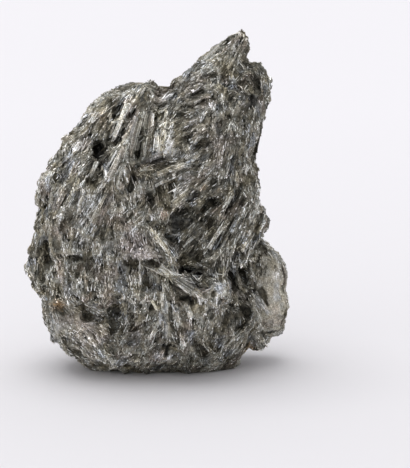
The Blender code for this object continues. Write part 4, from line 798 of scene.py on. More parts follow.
def cracks_at(points, normals, sheaves):
    """Thin cracks along the growth, carved and painted dark as their shade, 0 to 1 deep, in some places
    only.
    """
    index, offset, along, across, outward = sheaves.within(points, normals)
    place = np.stack([
        dots(offset, across), dots(offset, outward) * 0.7, dots(offset, along) * 0.24,
    ], axis=1)
    place = place + 0.02 * chance(index, 5)[:, None]
    line = np.clip(1.0 - np.abs(noise_at(place, 2.1 * MM, seed=91.0)) / 0.24, 0.0, 1.0)
    return line * patches(points, 3.6 * MM, seed=93.0, contrast=3.0, share=0.75)


def strokes_at(points, normals, sheaves):
    """How high every ridge, how deep every cleft, and the thin cracks at each place."""
    left = 1.0 - WORN_AWAY * smooth_at(points, normals)
    rise, fall = drawn_height(points, normals)
    far_rise, far_fall = hidden_height(points, normals, sheaves)
    cracks = cracks_at(points, normals, sheaves) * left
    fall = np.maximum(fall, np.maximum(far_fall * left, CRACK_DEPTH * cracks))
    return (rise + far_rise) * left, fall, cracks


def rib_relief(points, normals, sheaves, spacing, run, seed):
    """Long ribs side by side along the growth, each run of one at its own level and with its own
    slant, about -0.5 to 0.5."""
    index, offset, along_axis, across_axis, _ = sheaves.within(points, normals)
    along = dots(offset, along_axis)
    across = dots(offset, across_axis)
    row = across / spacing + RIB_WAVER * noise_at(points, RIB_WAVER_SIZE, seed)
    row_index = np.floor(row)
    run_place = along / run + 7.0 * chance(row_index, index, seed)
    run_index = np.floor(run_place)
    level = chance(row_index, run_index, index, seed)
    crest = 1.0 - np.abs(2.0 * (row - row_index) - 1.0)
    slant = (run_place - run_index - 0.5) * (chance(run_index, row_index, seed) - 0.5)
    return 0.6 * (level - 0.5) + 0.35 * (crest - 0.5) + 0.5 * slant


def pits_at(points):
    """Small sharp-edged hollows strewn about, 0 to 1 deep."""
    return np.clip((-noise_at(points, 1.7 * MM, seed=8.0) - 0.22) * 5.0, 0.0, 1.0)


# ------------------------------------------------------------------------------ the mass
def solid_tree():
    """The construction's solid, to find places on it."""
    solid = frame["nodes"]["stibnite_mass"]
    return BVHTree.FromObject(solid, bpy.context.evaluated_depsgraph_get())


def make_half(name, side, grain):
    """A fine-grained copy of the front or rear of the construction's solid, closed at its cut."""
    deselect_all()
    solid = frame["nodes"]["stibnite_mass"]
    half = bpy.data.objects.new(name, solid.data.copy())
    bpy.context.scene.collection.objects.link(half)
    make_active(half)
    bpy.ops.object.mode_set(mode="EDIT")
    bpy.ops.mesh.select_all(action="SELECT")
    bpy.ops.mesh.remove_doubles(threshold=0.000001)
    bpy.ops.mesh.select_all(action="SELECT")
    bpy.ops.mesh.bisect(
        plane_co=(0.0, SEAM_Y + side * SEAM_OVERLAP, 0.0), plane_no=(0.0, side, 0.0),
        use_fill=True, clear_outer=True,
    )
    bpy.ops.object.mode_set(mode="OBJECT")
    apply_modifier(half, "REMESH", mode="VOXEL", voxel_size=grain)
    apply_modifier(half, "SMOOTH", factor=0.5, iterations=2)
    return half


def carve(half, sheaves):
    """Moves the rim out or in by the swells, sinks clefts and pits in the mass, and raises
    ridges, ribs and grain on it. Gives the normals from before, the height and the depth."""
    places = vertex_places(half.data)
    normals = vertex_normals(half.data)
    granular = granular_at(places, normals)
    left = 1.0 - WORN_AWAY * smooth_at(places, normals)
    rise, fall, cracks = strokes_at(places, normals, sheaves)
    coarse = rib_relief(places, normals, sheaves, spacing=2.3 * MM, run=11.0 * MM, seed=3)
    fine = rib_relief(places, normals, sheaves, spacing=1.15 * MM, run=5.0 * MM, seed=5)
    lumps = noise_at(places, 2.6 * MM, seed=2.0)
    grain = noise_at(places, 1.1 * MM, seed=4.0)
    pits = pits_at(places) * granular * left * PIT_DEPTH
    ribs = (1.0 - 0.35 * granular) * (COARSE_RIBS * coarse + FINE_RIBS * fine)
    height = (ribs + (0.4 + 0.5 * granular) * lumps + GRAIN_RELIEF * grain) * left - pits

    off_foot = np.clip(places[:, 2] / FOOT_BAND, 0.0, 1.0)
    x, v = on_face(places)
    swell = sum(spot[5] * spot_share(x, v, spot) for spot in SWELLS)
    drawn = (rise - fall) * MM * off_foot
    outward = places - np.array(HEART)
    outward = unit(outward - (outward @ INTO)[:, None] * INTO)
    front = facing_front(normals)[:, None]
    drawn_way = unit(normals * (1.0 - front) - INTO * front)
    places = places + normals * ((height - MASS_SINK) * MM * off_foot)[:, None]
    places = places + outward * (swell * MM * off_foot)[:, None]
    places = places + drawn_way * drawn[:, None]
    places[:, 2] = np.maximum(places[:, 2], 0.0)
    half.data.vertices.foreach_set("co", places.astype(np.float32).ravel())
    half.data.update()
    # How dark each place is painted for the shade in its cleft, pit or crack
    sunk = np.minimum(fall, DARKEST_FALL) + PIT_DARKNESS * pits + CRACK_DARKNESS * cracks
    return normals, height + DRAWN_TONE * (rise - fall), sunk


def make_mass(sheaves, finish):
    """The two halves of the mass, each with its side of the seam, normals, height and depth."""
    halves = []
    for name, side, grain in (("mass_front", 1.0, FRONT_GRAIN), ("mass_rear", -1.0, REAR_GRAIN)):
        half = make_half(name, side, grain)
        normals, height, sunk = carve(half, sheaves)
        halves.append((half, side, normals, height, sunk))
        places = vertex_places(half.data)
        colour, strength = stains_at(places, normals)
        # Its own tone with painted light and shade, and the painted shade of the gaps between crystals
        tone = tone_and_painted_light_at(places, normals) + relief_light_and_shade(height, sunk) + MASS_SHADE_TONE
        tone = tone + SMOOTH_TONE * smooth_at(places, normals)
        set_finish(half.data, tone, colour, strength)
        finish_piece(half, finish)
    return halves


# ------------------------------------------------------------------------------ colour of places
def flecks_and_glints_at(points):
    """1 in the middle of a white fleck of the face, partly pale quartz and partly a painted glint,
    fading to 0 outside it, broken by the grain.
    """
    x, v = on_face(points)
    spots = [(x_fleck, v_fleck, radius, radius, 0, 1) for x_fleck, v_fleck, radius in FLECKS_AND_GLINTS]
    broken = patches(points, 0.7 * MM, seed=57.0, contrast=2.0, share=0.75)
    return strongest(x, v, spots, spot_share) * broken


def tone_and_painted_light_at(points, normals):
    """How much lighter or darker than the plain grey a place is, as a tone: its own tone, with painted
    light, shade and glints.
    """
    x, v = on_face(points)
    total = FLECK_AND_GLINT_TONE * flecks_and_glints_at(points)
    for spot in TONE_AND_PAINTED_LIGHT:
        total += spot[5] * spot_share(x, v, spot)
    return total * front_share(normals) + CLOUD_TONE * noise_at(points, 9.0 * MM, seed=21.0)


def relief_light_and_shade(height, sunk):
    """Painted light and shade of the relief: what stands out is lighter, hollows are darker, and clefts
    darker still, as their shade together with the tarnish in them.
    """
    return HEIGHT_TONE * np.clip(height, -2.0, 1.2) - SUNK_TONE * np.clip(sunk, 0.0, 3.2)


def drawn_or_strewn(points, normals, spots, strewn):
    """The strongest of a list of spots on the broad face, and other patches on the rear."""
    x, v = on_face(points)
    front = front_share(normals)
    return np.maximum(strongest(x, v, spots, spot_share) * front, strewn * (1.0 - front))


def granular_at(points, normals):
    """0 where the surface is made of long blades, 1 where it is made of short grains."""
    fibrous = patches(points, 12.0 * MM, seed=61.0, contrast=2.2, share=0.45)
    return 1.0 - drawn_or_strewn(points, normals, FIBROUS, fibrous)


def smooth_at(points, normals):
    """1 where the surface is worn smooth."""
    worn = patches(points, 10.0 * MM, seed=67.0, contrast=3.0, share=-0.7, most=0.8)
    return drawn_or_strewn(points, normals, SMOOTH, worn)


def stain_shares(points, normals):
    """Each colour that stains the surface, its weight in the blend, and its share at each place."""
    x, v = on_face(points)
    front = front_share(normals)
    for spot in STAINS:
        yield spot[6], 1.0, spot[5] * spot_share(x, v, spot) * front
    # The white of the flecks, partly pale quartz and partly painted glints
    yield WHITE, 3.0, 0.95 * flecks_and_glints_at(points) * front
    for tint, size, seed, threshold in STAIN_CLOUDS:
        cloud = noise_at(points, size * MM, seed) - threshold
        yield tint, 1.0, np.clip(cloud * 3.0, 0.0, 0.5)


def stains_at(points, normals):
    """The colour of the stain at each place, and its strength."""
    colour = np.zeros((len(points), 3))
    total = np.full(len(points), 1e-6)
    strength = np.zeros(len(points))
    for tint, weight, share in stain_shares(points, normals):
        colour += weight * share[:, None] * np.array(tint)
        total += weight * share
        strength = np.maximum(strength, share)
    return colour / total[:, None], strength


def set_attribute(mesh, name, kind, field, values):
    attribute = mesh.attributes.new(name, kind, "POINT")
    attribute.data.foreach_set(field, np.asarray(values, np.float32).ravel())


def set_finish(mesh, tone, colour, strength):
    """The tone and the stain of each vertex, for the material to read."""
    stain = np.concatenate([colour, strength[:, None]], axis=1)
    set_attribute(mesh, "tone", "FLOAT", "value", tone)
    set_attribute(mesh, "stain", "FLOAT_COLOR", "color", stain)


# ------------------------------------------------------------------------------ crystals
def crystal_form(sides, foot, tip, moved_side, move):
    """A prism 1 long, up +z, with one side of its tip moved in edit mode: vertices and faces."""
    deselect_all()
    bpy.ops.mesh.primitive_cone_add(
        vertices=sides, radius1=foot, radius2=tip, depth=1.0, location=(0.0, 0.0, 0.5)
    )
    form = bpy.context.object
    bpy.ops.object.transform_apply(location=True, rotation=True, scale=True)
    bpy.context.tool_settings.mesh_select_mode = (True, False, False)
    for domain in (form.data.polygons, form.data.edges, form.data.vertices):
        domain.foreach_set("select", [False] * len(domain))
    for vertex in form.data.vertices:
        vertex.select = vertex.co.z > 0.9 and vertex.co[moved_side] > 0.1
    bpy.ops.object.mode_set(mode="EDIT")
    bpy.ops.transform.translate(value=move)
    bpy.ops.object.mode_set(mode="OBJECT")
    places = vertex_places(form.data)
    faces = [tuple(polygon.vertices) for polygon in form.data.polygons]
    bpy.data.objects.remove(form, do_unlink=True)
    return places, faces


class Crystals:
    """Crystals of one form, gathered to be joined in one mesh."""

    def __init__(self, form):
        self.form = crystal_form(*form)
        self.batches = []

    def add(self, kept, *fields):
        """Root, tip, up, width, thickness and tone of more crystals, less those not kept."""
        self.batches.append([values[kept] for values in fields])

    def gathered(self):
        return [np.concatenate(values) for values in zip(*self.batches)]


def join_copies(name, places, faces, points, count):
    """The mesh of many copies of a form, given where every vertex of each copy is."""
    sizes = np.array([len(face) for face in faces])
    corners = np.concatenate([np.array(face) for face in faces])
    all_corners = (corners[None, :] + (np.arange(count) * len(places))[:, None]).ravel()
    starts = np.concatenate([[0], np.cumsum(np.tile(sizes, count))[:-1]])
    mesh = bpy.data.meshes.new(name)
    mesh.vertices.add(len(points))
    mesh.vertices.foreach_set("co", points.astype(np.float32).ravel())
    mesh.loops.add(len(all_corners))
    mesh.loops.foreach_set("vertex_index", all_corners.astype(np.int32))
    mesh.polygons.add(len(starts))
    mesh.polygons.foreach_set("loop_start", starts.astype(np.int32))
    mesh.update(calc_edges=True)
    mesh.validate()
    return mesh, corners


def grow(name, finish, form, start, end, up, width, thickness, tone):
    """One piece of many copies of a form, each from its start to its end."""
    places, faces = form
    count = len(start)
    length = end - start
    across = unit(np.cross(length, up))
    over = unit(np.cross(across, length))
    x = places[None, :, 0, None] * (across * width[:, None])[:, None, :]
    y = places[None, :, 1, None] * (over * thickness[:, None])[:, None, :]
    z = places[None, :, 2, None] * length[:, None, :]
    points = (start[:, None, :] + x + y + z).reshape(-1, 3)
    points[:, 2] = np.maximum(points[:, 2], 0.0)
    mesh, corners = join_copies(name, places, faces, points, count)

    fibre = mesh.uv_layers.new(name="fibre")
    across_place = (places[corners, 0] + places[corners, 1])[None, :] * (width / MM)[:, None]
    across_place = across_place + FIBRE_SHIFT * chance(np.arange(count), 1)[:, None]
    along_place = places[corners, 2][None, :] * (np.linalg.norm(length, axis=1) / MM)[:, None]
    both = np.stack([across_place, along_place], axis=-1)
    fibre.data.foreach_set("uv", both.astype(np.float32).ravel())

    finishes = (tone, *stains_at((start + end) / 2.0, up))
    set_finish(mesh, *(np.repeat(values, len(places), axis=0) for values in finishes))
    piece = bpy.data.objects.new(name, mesh)
    bpy.context.scene.collection.objects.link(piece)
    finish_piece(piece, finish)


class Surface:
    """The mass as the crystals see it: where it is, how it faces and how high it stands."""

    def __init__(self, halves):
        parts = []
        first = 0
        for half, side, normals, height, sunk in halves:
            mesh = half.data
            mesh.calc_loop_triangles()
            places = vertex_places(mesh)
            ends = stored(mesh.loop_triangles, "vertices", np.int32)
            own = (places[ends].mean(axis=1)[:, 1] - SEAM_Y) * side < 0.0
            parts.append((places, normals, height, sunk, ends[own] + first))
            first += len(places)
        joined = [np.concatenate(values) for values in zip(*parts)]
        self.places, self.normals, self.relief, self.sunk, self.corners = joined
        self.tree = BVHTree.FromPolygons(self.places.tolist(), self.corners.tolist())

    def random(self, count, rng):
        """Places spread over the mass, more thickly in front, and a vertex beside each."""
        a, b, c = (self.places[self.corners[:, k]] for k in range(3))
        area = np.linalg.norm(np.cross(b - a, c - a), axis=1) / 2.0
        weight = area * (1.0 - 0.3 * self.normals[self.corners[:, 0]] @ INTO)
        picked = rng.choice(len(area), size=count, p=weight / weight.sum())
        share = rng.random((count, 2))
        over = share.sum(axis=1) > 1.0
        share[over] = 1.0 - share[over]
        points = a[picked] + (b - a)[picked] * share[:, :1] + (c - a)[picked] * share[:, 1:]
        return points, self.corners[picked, 0]

    def near(self, points):
        """The nearest places, and a vertex beside each."""
        hits = np.empty((len(points), 3))
        faces = np.empty(len(points), int)
        for number, point in enumerate(points):
            hit, _, face = self.tree.find_nearest(Vector(point))[:3]
            hits[number] = hit
            faces[number] = face
        return hits, self.corners[faces, 0]

    def front_places(self, flat):
        """The places of the broad face at each x, v."""
        eye = to_part(EYE)
        found = []
        for x, v in flat:
            seen = to_part((x, AIM.y, v))
            hit = self.tree.ray_cast(eye, (seen - eye).normalized())[0]
            found.append(self.tree.find_nearest(seen)[0] if hit is None else hit)
        return np.array(found)

    def tone(self, corners):
        """How much lighter or darker the relief is painted at each vertex, as a tone: its painted light
        and shade.
        """
        return relief_light_and_shade(self.relief[corners], self.sunk[corners])


def under_blades(points, normals):
    """1 where the listed long blades are laid, fading to 0 beside them."""
    x, v = on_face(points)
    share = np.zeros(len(points))
    for blade in BLADES:
        stroke = (*blade[:4], max(blade[4], blade[5]) + 0.35)
        clear = 1.0 if blade[6] <= FEW_LATHS else 0.6
        share = np.maximum(share, clear * stroke_share(x, v, stroke))
    return share * facing_front(normals)


def laid_down(surface, points, highest):
    """The points, with those that stand out of the surface too far brought down to it."""
    hits, corners = surface.near(points)
    facing = surface.normals[corners]
    over = np.maximum(dots(points - hits, facing) - highest, 0.0)
    return points - facing * over[:, None]


def bridges(sheaves, root, tip, normals, rng):
    """Which crystals would bridge a cleft from one side to the other, so that they are left out."""
    depths = []
    for share in (0.05, 0.35, 0.65, 0.95):
        depths.append(strokes_at(root + (tip - root) * share, normals, sheaves)[1])
    step = np.max(depths, axis=0) - np.min(depths, axis=0)
    return rng.random(len(root)) < BRIDGES_LEFT_OUT * np.clip(step / BRIDGE_STEP, 0.0, 1.0)


class Bundles:
    """Bundles of slender laths side by side, lying in the surface along its growth."""

    def __init__(self, surface, sheaves, rng):
        points, corners = surface.random(BUNDLES, rng)
        normals = surface.normals[corners]
        granular = granular_at(points, normals)
        clear = np.maximum(0.55 * granular, 0.85 * under_blades(points, normals))
        wanted = rng.random(BUNDLES) > clear
        points, normals, granular = points[wanted], normals[wanted], granular[wanted]
        along = sheaves.directions(points, normals)
        count = len(points)
        wobble = np.radians(BUNDLE_SPLAY + 6.0 * granular) * rng.standard_normal(count)
        along = unit(turned_to(along, np.cross(normals, along), wobble))
        self.surface = surface
        self.sheaves = sheaves
        self.points = points
        self.across = np.cross(normals, along)
        self.along = along * np.where(rng.random(count) < UPSIDE_DOWN, -1.0, 1.0)[:, None]
        self.length = rng.uniform(*LATH_LENGTH, count) * (1.0 - 0.5 * granular)
        self.tone = rng.normal(0.0, BUNDLE_TONE_SPREAD, count)
        self.roll = rng.normal(0.0, BUNDLE_ROLL, count)
        self.lift = rng.uniform(*BUNDLE_LIFT, count) * MM

    def set_out(self, number, rng):
        """The middle of one lath of each bundle, a vertex beside it, its direction along the
        surface, its width and its length."""
        count = len(self.points)
        jitter = rng.uniform(-0.3, 0.3, count)
        beside = (number - (LATHS_IN_BUNDLE - 1) / 2.0 + jitter) * 0.9
        wide = rng.uniform(*CRYSTAL_WIDTH, count)
        long = self.length * rng.uniform(0.6, 1.15, count)
        slide = rng.uniform(-0.45, 0.45, count) * self.length
        fan = beside * np.radians(1.2) + np.radians(0.8) * rng.standard_normal(count)
        turned = unit(turned_to(self.along, self.across, fan))
        middle = self.points + self.across * (beside * wide)[:, None]
        middle, corners = self.surface.near(middle + self.along * slide[:, None])
        return middle, corners, laid_along(turned, self.surface.normals[corners]), wide, long

    def lay(self, laths, number, rng):
        """One lath of each bundle, the given number from its side."""
        surface = self.surface
        count = len(self.points)
        middle, corners, turned, wide, long = self.set_out(number, rng)
        facing = surface.normals[corners]
        half = turned * (long / 2.0)[:, None]
        root = surface.near(middle - half)[0]
        tip = surface.near(middle + half)[0]
        bow = dots(middle - (root + tip) / 2.0, facing)
        keep = (bow < BOW_MOST) & (bow > -BOW_LEAST)
        keep &= ~bridges(self.sheaves, root, tip, facing, rng)
        raise_by = np.clip(bow, -0.3 * MM, BOW_MOST) * 0.6 + self.lift
        root = root + facing * (raise_by - ROOT_SINK)[:, None]
        rise = rng.uniform(*TIP_LIFT, count) * MM
        tip = tip + facing * (rise + raise_by)[:, None]
        roll = self.roll + rng.normal(0.0, LATH_ROLL, count)
        up = turned_to(facing, np.cross(turned, facing), roll)
        # Its tone takes the painted light and shade of the face and of the relief under it
        tone = self.tone + rng.normal(*LATH_TONE, count) + tone_and_painted_light_at(middle, facing)
        tone = tone + surface.tone(corners) - DARK_LATH_TONE * (rng.random(count) < DARK_LATHS)
        keep &= (root[:, 2] > LOWEST_LATH) & (tip[:, 2] > LOWEST_LATH)
        keep &= np.linalg.norm(tip - root, axis=1) > 0.55 * long
        thick = wide * rng.uniform(*FLATNESS, count)
        laths.add(keep, root, tip, up, wide, thick, tone)


def sow_grains(grains, surface, sheaves, rng):
    """Short broken pieces all over the surface, most of each one sunk in it."""
    points, corners = surface.random(GRAINS, rng)
    normals = surface.normals[corners]
    granular = granular_at(points, normals)
    worn = smooth_at(points, normals)
    along = sheaves.directions(points, normals)
    turn = np.radians(5.0 + 9.0 * granular) * rng.standard_normal(GRAINS)
    pitch = np.radians(5.0 + 7.0 * granular) * (1.0 - 0.6 * worn) * rng.standard_normal(GRAINS)
    flat = turned_to(along, np.cross(normals, along), turn)
    axis = unit(turned_to(flat, normals, pitch))
    roll = rng.uniform(-GRAIN_ROLL, GRAIN_ROLL, GRAINS)
    up = unit(turned_to(normals, np.cross(axis, normals), roll))
    wide = rng.uniform(*CRYSTAL_WIDTH, GRAINS)
    long = rng.uniform(*GRAIN_LENGTH, GRAINS) * (1.3 - 0.5 * granular)
    thick = wide * rng.uniform(*FLATNESS, GRAINS)
    above = rng.uniform(*GRAIN_PROUD, GRAINS) * (1.0 - 0.7 * worn)
    middle = points + normals * (above - GRAIN_SINK * thick)[:, None]
    root, tip = (
        laid_down(surface, middle + axis * (way * long / 2.0)[:, None], GRAIN_HIGHEST)
        for way in (-1.0, 1.0)
    )
    tone = rng.normal(*GRAIN_TONE, GRAINS) * (GRAIN_TONE_SPREAD * (1.0 - 0.6 * worn))
    # Its tone takes the painted light and shade of the face and of the relief under it
    tone = tone + tone_and_painted_light_at(points, normals) + surface.tone(corners)
    dark = rng.random(GRAINS) < DARK_GRAINS * (1.0 - 0.8 * worn)
    tone = tone - DARK_GRAIN_TONE * dark
    keep = (root[:, 2] > LOWEST_GRAIN) & (tip[:, 2] > LOWEST_GRAIN)
    keep &= ~bridges(sheaves, root, tip, normals, rng)
    keep &= rng.random(GRAINS) > np.maximum(0.55 * worn, 0.9 * under_blades(points, normals))
    grains.add(keep, root, tip, up, wide, thick, tone)


def lay_blades(blades, surface, rng):
    """The long blades of the broad face, each from one place of the surface to another."""
    outward = -INTO
    for x_a, v_a, x_b, v_b, spread_a, spread_b, laths, lath_width, lift, tone in BLADES:
        more, wider = FEW_COUNT if laths <= FEW_LATHS else MANY_COUNT
        count = round(more * laths)
        width = wider * lath_width
        along = np.array([x_b - x_a, v_b - v_a])
        beside = np.array([-along[1], along[0]]) / np.linalg.norm(along)
        share = (np.arange(count) + 0.5) / count * 2.0 - 1.0 + rng.uniform(-0.3, 0.3, count) / count
        ends = []
        for x, v, spread in ((x_a, v_a, spread_a), (x_b, v_b, spread_b)):
            jitter = rng.uniform(-0.6, 0.6, (count, 2)) * (0.3, 0.9)
            places = np.array([x, v]) + beside * (share * spread)[:, None] + jitter
            ends.append(surface.front_places(places))
        start, end = ends
        middle = (start + end) / 2.0
        over = surface.front_places(np.stack(on_face(middle), axis=1))
        bow = np.clip((over - middle) @ outward, -0.2 * MM, 1.2 * MM)
        lifted = (bow * 0.8 + rng.uniform(-0.4, 1.0, count) * lift * MM)[:, None] * outward
        wide = width * rng.uniform(0.8, 1.25, count) * MM
        roll = rng.normal(0.0, BLADE_ROLL, count)
        up = turned_to(outward, unit(np.cross(end - start, outward)), roll)
        shade = BLADE_TONE_SHARE * tone + BLADE_TONE + rng.normal(0.0, BLADE_TONE_SPREAD, count)
        thick = wide * rng.uniform(*BLADE_FLATNESS, count)
        lying = np.abs(unit(end - start) @ outward) < STEEPEST_BLADE
        root = start + lifted - outward * BLADE_SINK * MM
        blades.add(lying, root, end + lifted, up, wide, thick, shade)


# ------------------------------------------------------------------------------ materials
class Nodes:
    """A short way to add nodes to a tree and link them."""

    def __init__(self, tree):
        self.tree = tree

    def add(self, kind, **settings):
        node = self.tree.nodes.new(kind)
        for key, value in settings.items():
            setattr(node, key, value)
        return node

    def feed(self, socket, source):
        if isinstance(source, bpy.types.NodeSocket):
            self.tree.links.new(source, socket)
        else:
            socket.default_value = source

    def maths(self, operation, *sources):
        node = self.add("ShaderNodeMath", operation=operation)
        for socket, source in zip(node.inputs, sources):
            self.feed(socket, source)
        return node.outputs[0]

    def mix(self, share, a, b, blend="MIX"):
        """Two colours mixed. The mix node's colour sockets are its inputs 6 and 7 and output 2."""
        node = self.add("ShaderNodeMix", data_type="RGBA", blend_type=blend, clamp_result=False)
        self.feed(node.inputs[0], share)
        self.feed(node.inputs[6], a)
        self.feed(node.inputs[7], b)
        return node.outputs[2]

    def grain(self, vector, scale, detail, rough):
        node = self.add("ShaderNodeTexNoise")
        self.feed(node.inputs["Vector"], vector)
        self.feed(node.inputs["Scale"], scale)
        self.feed(node.inputs["Detail"], detail)
        self.feed(node.inputs["Roughness"], rough)
        return node.outputs["Fac"]

    def spread(self, value, low, high, to_low, to_high):
        """The value, spread from the range low to high over the range to_low to to_high."""
        node = self.add("ShaderNodeMapRange")
        for socket, source in zip(node.inputs, (value, low, high, to_low, to_high)):
            self.feed(socket, source)
        return node.outputs[0]


def new_group(name, inputs, outputs):
    group = bpy.data.node_groups.new(name, "ShaderNodeTree")
    for in_out, sockets in (("INPUT", inputs), ("OUTPUT", outputs)):
        for label, kind in sockets:
            group.interface.new_socket(label, in_out=in_out, socket_type=f"NodeSocket{kind}")
    nodes = Nodes(group)
    return group, nodes, nodes.add("NodeGroupInput"), nodes.add("NodeGroupOutput")


def crystal_colour_group():
    """Lead grey, lighter or darker by a tone, with stains and fine grain over it."""
    group, nodes, given, out = new_group(
        "crystal_colour",
        (("Grey", "Color"), ("Tone", "Float"), ("Stain", "Color"), ("Stain Amount", "Float"),
         ("Place", "Vector")),
        (("Color", "Color"), ("Roughness", "Float"), ("Height", "Float")),
    )
    place = given.outputs["Place"]
    grain = nodes.grain(place, scale=900.0, detail=3.0, rough=0.7)
    speck = nodes.grain(place, scale=2200.0, detail=2.0, rough=0.6)
    patch = nodes.grain(place, scale=420.0, detail=3.0, rough=0.7)
    patch_cast = nodes.mix(nodes.spread(patch, 0.36, 0.64, 0.0, 1.0), COOL_CAST, WARM_CAST)
    grey = nodes.mix(1.0, given.outputs["Grey"], patch_cast, "MULTIPLY")
    stained = nodes.mix(given.outputs["Stain Amount"], grey, given.outputs["Stain"])
    tone = nodes.maths("ADD", given.outputs["Tone"], nodes.spread(grain, 0.3, 0.7, -0.2, 0.2))
    tone = nodes.maths("ADD", tone, nodes.spread(speck, 0.3, 0.7, -0.65, 0.50))
    tone_cast = nodes.mix(nodes.spread(tone, -1.6, 0.7, 0.0, 1.0), DARK_CAST, PALE_CAST)
    cast = nodes.mix(1.0, stained, tone_cast, "MULTIPLY")
    lit = nodes.add("ShaderNodeVectorMath", operation="SCALE")
    nodes.feed(lit.inputs[0], cast)
    nodes.feed(lit.inputs["Scale"], nodes.maths("POWER", TONE_STEP, tone))
    nodes.feed(out.inputs["Color"], lit.outputs[0])
    nodes.feed(out.inputs["Roughness"], nodes.spread(speck, 0.3, 0.7, 0.30, 0.52))
    nodes.feed(out.inputs["Height"], nodes.maths("ADD", grain, speck))
    return group


def new_material(name):
    material = bpy.data.materials.new(name)
    material.use_nodes = True
    tree = material.node_tree
    return material, Nodes(tree), tree.nodes["Principled BSDF"]


def crystal_material(name, colours, metallic, dull, bump, striped):
    """Lead-grey crystal. The striped ones are finely lined along their length."""
    material, nodes, shader = new_material(name)
    tone = nodes.add("ShaderNodeAttribute", attribute_name="tone").outputs["Fac"]
    stain = nodes.add("ShaderNodeAttribute", attribute_name="stain")
    finish = nodes.add("ShaderNodeGroup", node_tree=colours)
    height = finish.outputs["Height"]
    if striped:
        drawn = nodes.add("ShaderNodeMapping")
        nodes.feed(drawn.inputs["Scale"], STRIPES)
        fibre = nodes.add("ShaderNodeUVMap", uv_map="fibre")
        nodes.feed(drawn.inputs["Vector"], fibre.outputs["UV"])
        stripes = nodes.grain(drawn.outputs[0], scale=1.0, detail=3.0, rough=0.7)
        height = nodes.maths("ADD", height, stripes)
        tone = nodes.maths("ADD", tone, nodes.spread(stripes, 0.3, 0.7, -0.6, 0.6))
    nodes.feed(finish.inputs["Grey"], (*LEAD_GREY, 1.0))
    nodes.feed(finish.inputs["Tone"], tone)
    nodes.feed(finish.inputs["Stain"], stain.outputs["Color"])
    nodes.feed(finish.inputs["Stain Amount"], stain.outputs["Alpha"])
    nodes.feed(finish.inputs["Place"], nodes.add("ShaderNodeTexCoord").outputs["Object"])
    relief = nodes.add("ShaderNodeBump")
    nodes.feed(relief.inputs["Strength"], bump)
    nodes.feed(relief.inputs["Distance"], BUMP_DEPTH)
    nodes.feed(relief.inputs["Height"], height)
    nodes.feed(shader.inputs["Base Color"], finish.outputs["Color"])
    nodes.feed(shader.inputs["Roughness"], nodes.maths("ADD", finish.outputs["Roughness"], dull))
    nodes.feed(shader.inputs["Normal"], relief.outputs["Normal"])
    nodes.feed(shader.inputs["Metallic"], metallic)
    return material


def finish_piece(piece, material):
    piece.data.materials.clear()
    piece.data.materials.append(material)
    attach(piece, "root")
    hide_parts("stibnite_mass")


# ------------------------------------------------------------------------------ studio
def make_floor():
    """A wide pale floor with painted light, a little lighter towards the rear."""
    deselect_all()
    bpy.ops.mesh.primitive_circle_add(vertices=96, radius=9.0, fill_type="NGON")
    floor = bpy.context.object
    floor.name = "studio_floor"
    material, nodes, shader = new_material("pale_floor")
    way = nodes.add("ShaderNodeSeparateXYZ")
    nodes.feed(way.inputs[0], nodes.add("ShaderNodeTexCoord").outputs["Object"])
    depth = nodes.spread(way.outputs["Y"], -0.1, 0.5, 0.0, 1.0)
    nodes.feed(shader.inputs["Base Color"], nodes.mix(depth, FLOOR_NEAR, FLOOR_FAR))
    nodes.feed(shader.inputs["Roughness"], 0.85)
    nodes.feed(shader.inputs["Specular IOR Level"], 0.15)
    floor.data.materials.append(material)
    floor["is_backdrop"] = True


def add_sun(name, energy, degrees, towards):
    """A sun that shines from the given direction, as soft as a patch of sky so wide."""
    light = bpy.data.lights.new(name, "SUN")
    light.energy = energy
    light.angle = math.radians(degrees)
    lamp = bpy.data.objects.new(name, light)
    bpy.context.scene.collection.objects.link(lamp)
    lamp.rotation_euler = Vector(towards).to_track_quat("Z", "Y").to_euler()


def make_light():
    """A soft light overhead from the left, a weaker one from the front, and a pale room, which
    is lighter above and behind. The camera itself sees it at full strength."""
    world = bpy.data.worlds.new("studio")
    world.use_nodes = True
    bpy.context.scene.world = world
    nodes = Nodes(world.node_tree)
    background = world.node_tree.nodes["Background"]
    nodes.feed(background.inputs["Color"], ROOM_COLOUR)
    way = nodes.add("ShaderNodeSeparateXYZ")
    nodes.feed(way.inputs[0], nodes.add("ShaderNodeTexCoord").outputs["Generated"])
    above = nodes.spread(way.outputs["Z"], 0.0, 1.0, 0.60, 0.74)
    behind = nodes.spread(way.outputs["Y"], -1.0, 1.0, 0.70, 1.35)
    room = nodes.maths("MULTIPLY", above, behind)
    seen = nodes.add("ShaderNodeLightPath").outputs["Is Camera Ray"]
    nodes.feed(background.inputs["Strength"], nodes.maths("MAXIMUM", room, seen))
    add_sun("overhead_light", energy=1.50, degrees=50.0, towards=(-0.15, 0.04, 1.0))
    add_sun("front_light", energy=0.50, degrees=60.0, towards=(-0.40, -1.0, 0.70))


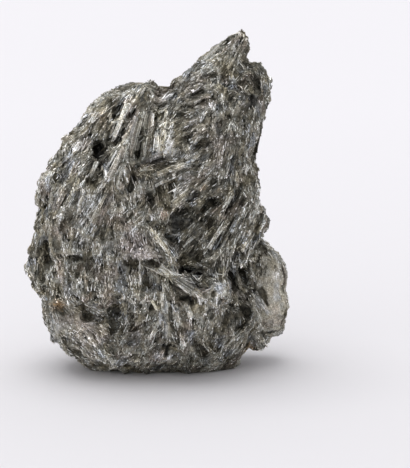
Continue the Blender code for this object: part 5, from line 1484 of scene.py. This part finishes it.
def make_camera():
    data = bpy.data.cameras.new("camera")
    data.lens = LENS
    data.sensor_width = SENSOR
    data.clip_start = 0.01
    data.clip_end = 60.0
    camera = bpy.data.objects.new("camera", data)
    bpy.context.scene.collection.objects.link(camera)
    away = Vector((0.0, -math.cos(FACE_LEAN), math.sin(FACE_LEAN)))
    camera.location = to_part(EYE)
    camera.rotation_euler = away.to_track_quat("Z", "Y").to_euler()
    bpy.context.scene.camera = camera
    bpy.context.scene.view_settings.view_transform = "Standard"


# ------------------------------------------------------------------------------ the specimen
def grow_in_quarters(name, crystals, finish):
    """Four pieces of the crystals: those of the front and of the rear, low and high."""
    fields = crystals.gathered()
    start, end, up = fields[:3]
    front = up @ INTO < 0.0
    low = on_face((start + end) / 2.0)[1] < HALF_HEIGHT
    for quarter, chosen in (
        ("front_low", front & low), ("front_high", front & ~low),
        ("rear_low", ~front & low), ("rear_high", ~front & ~low),
    ):
        grow(f"{name}_{quarter}", finish, crystals.form, *(values[chosen] for values in fields))


def main():
    rng = np.random.default_rng(SEED)
    sheaves = Sheaves(solid_tree())
    colours = crystal_colour_group()
    mass_finish = crystal_material(
        "stibnite_mass_finish", colours, metallic=0.5, dull=0.12, bump=0.8, striped=False
    )
    grain_finish = crystal_material(
        "stibnite_grain_finish", colours, metallic=0.5, dull=0.16, bump=0.7, striped=True
    )
    blade_finish = crystal_material(
        "stibnite_blade_finish", colours, metallic=0.7, dull=0.04, bump=0.6, striped=True
    )
    surface = Surface(make_mass(sheaves, mass_finish))

    laths = Crystals(LATH_FORM)
    bundles = Bundles(surface, sheaves, rng)
    for number in range(LATHS_IN_BUNDLE):
        bundles.lay(laths, number, rng)
    grains = Crystals(GRAIN_FORM)
    sow_grains(grains, surface, sheaves, rng)
    blades = Crystals(BLADE_FORM)
    lay_blades(blades, surface, rng)
    grow("long_blades", blade_finish, blades.form, *blades.gathered())
    grow_in_quarters("laths", laths, blade_finish)
    grow_in_quarters("grains", grains, grain_finish)

    make_floor()
    make_light()
    make_camera()


main()
boxes = {"cad": cad_box, "visual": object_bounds()}
{key: [list(corner) for corner in box] for key, box in boxes.items()}
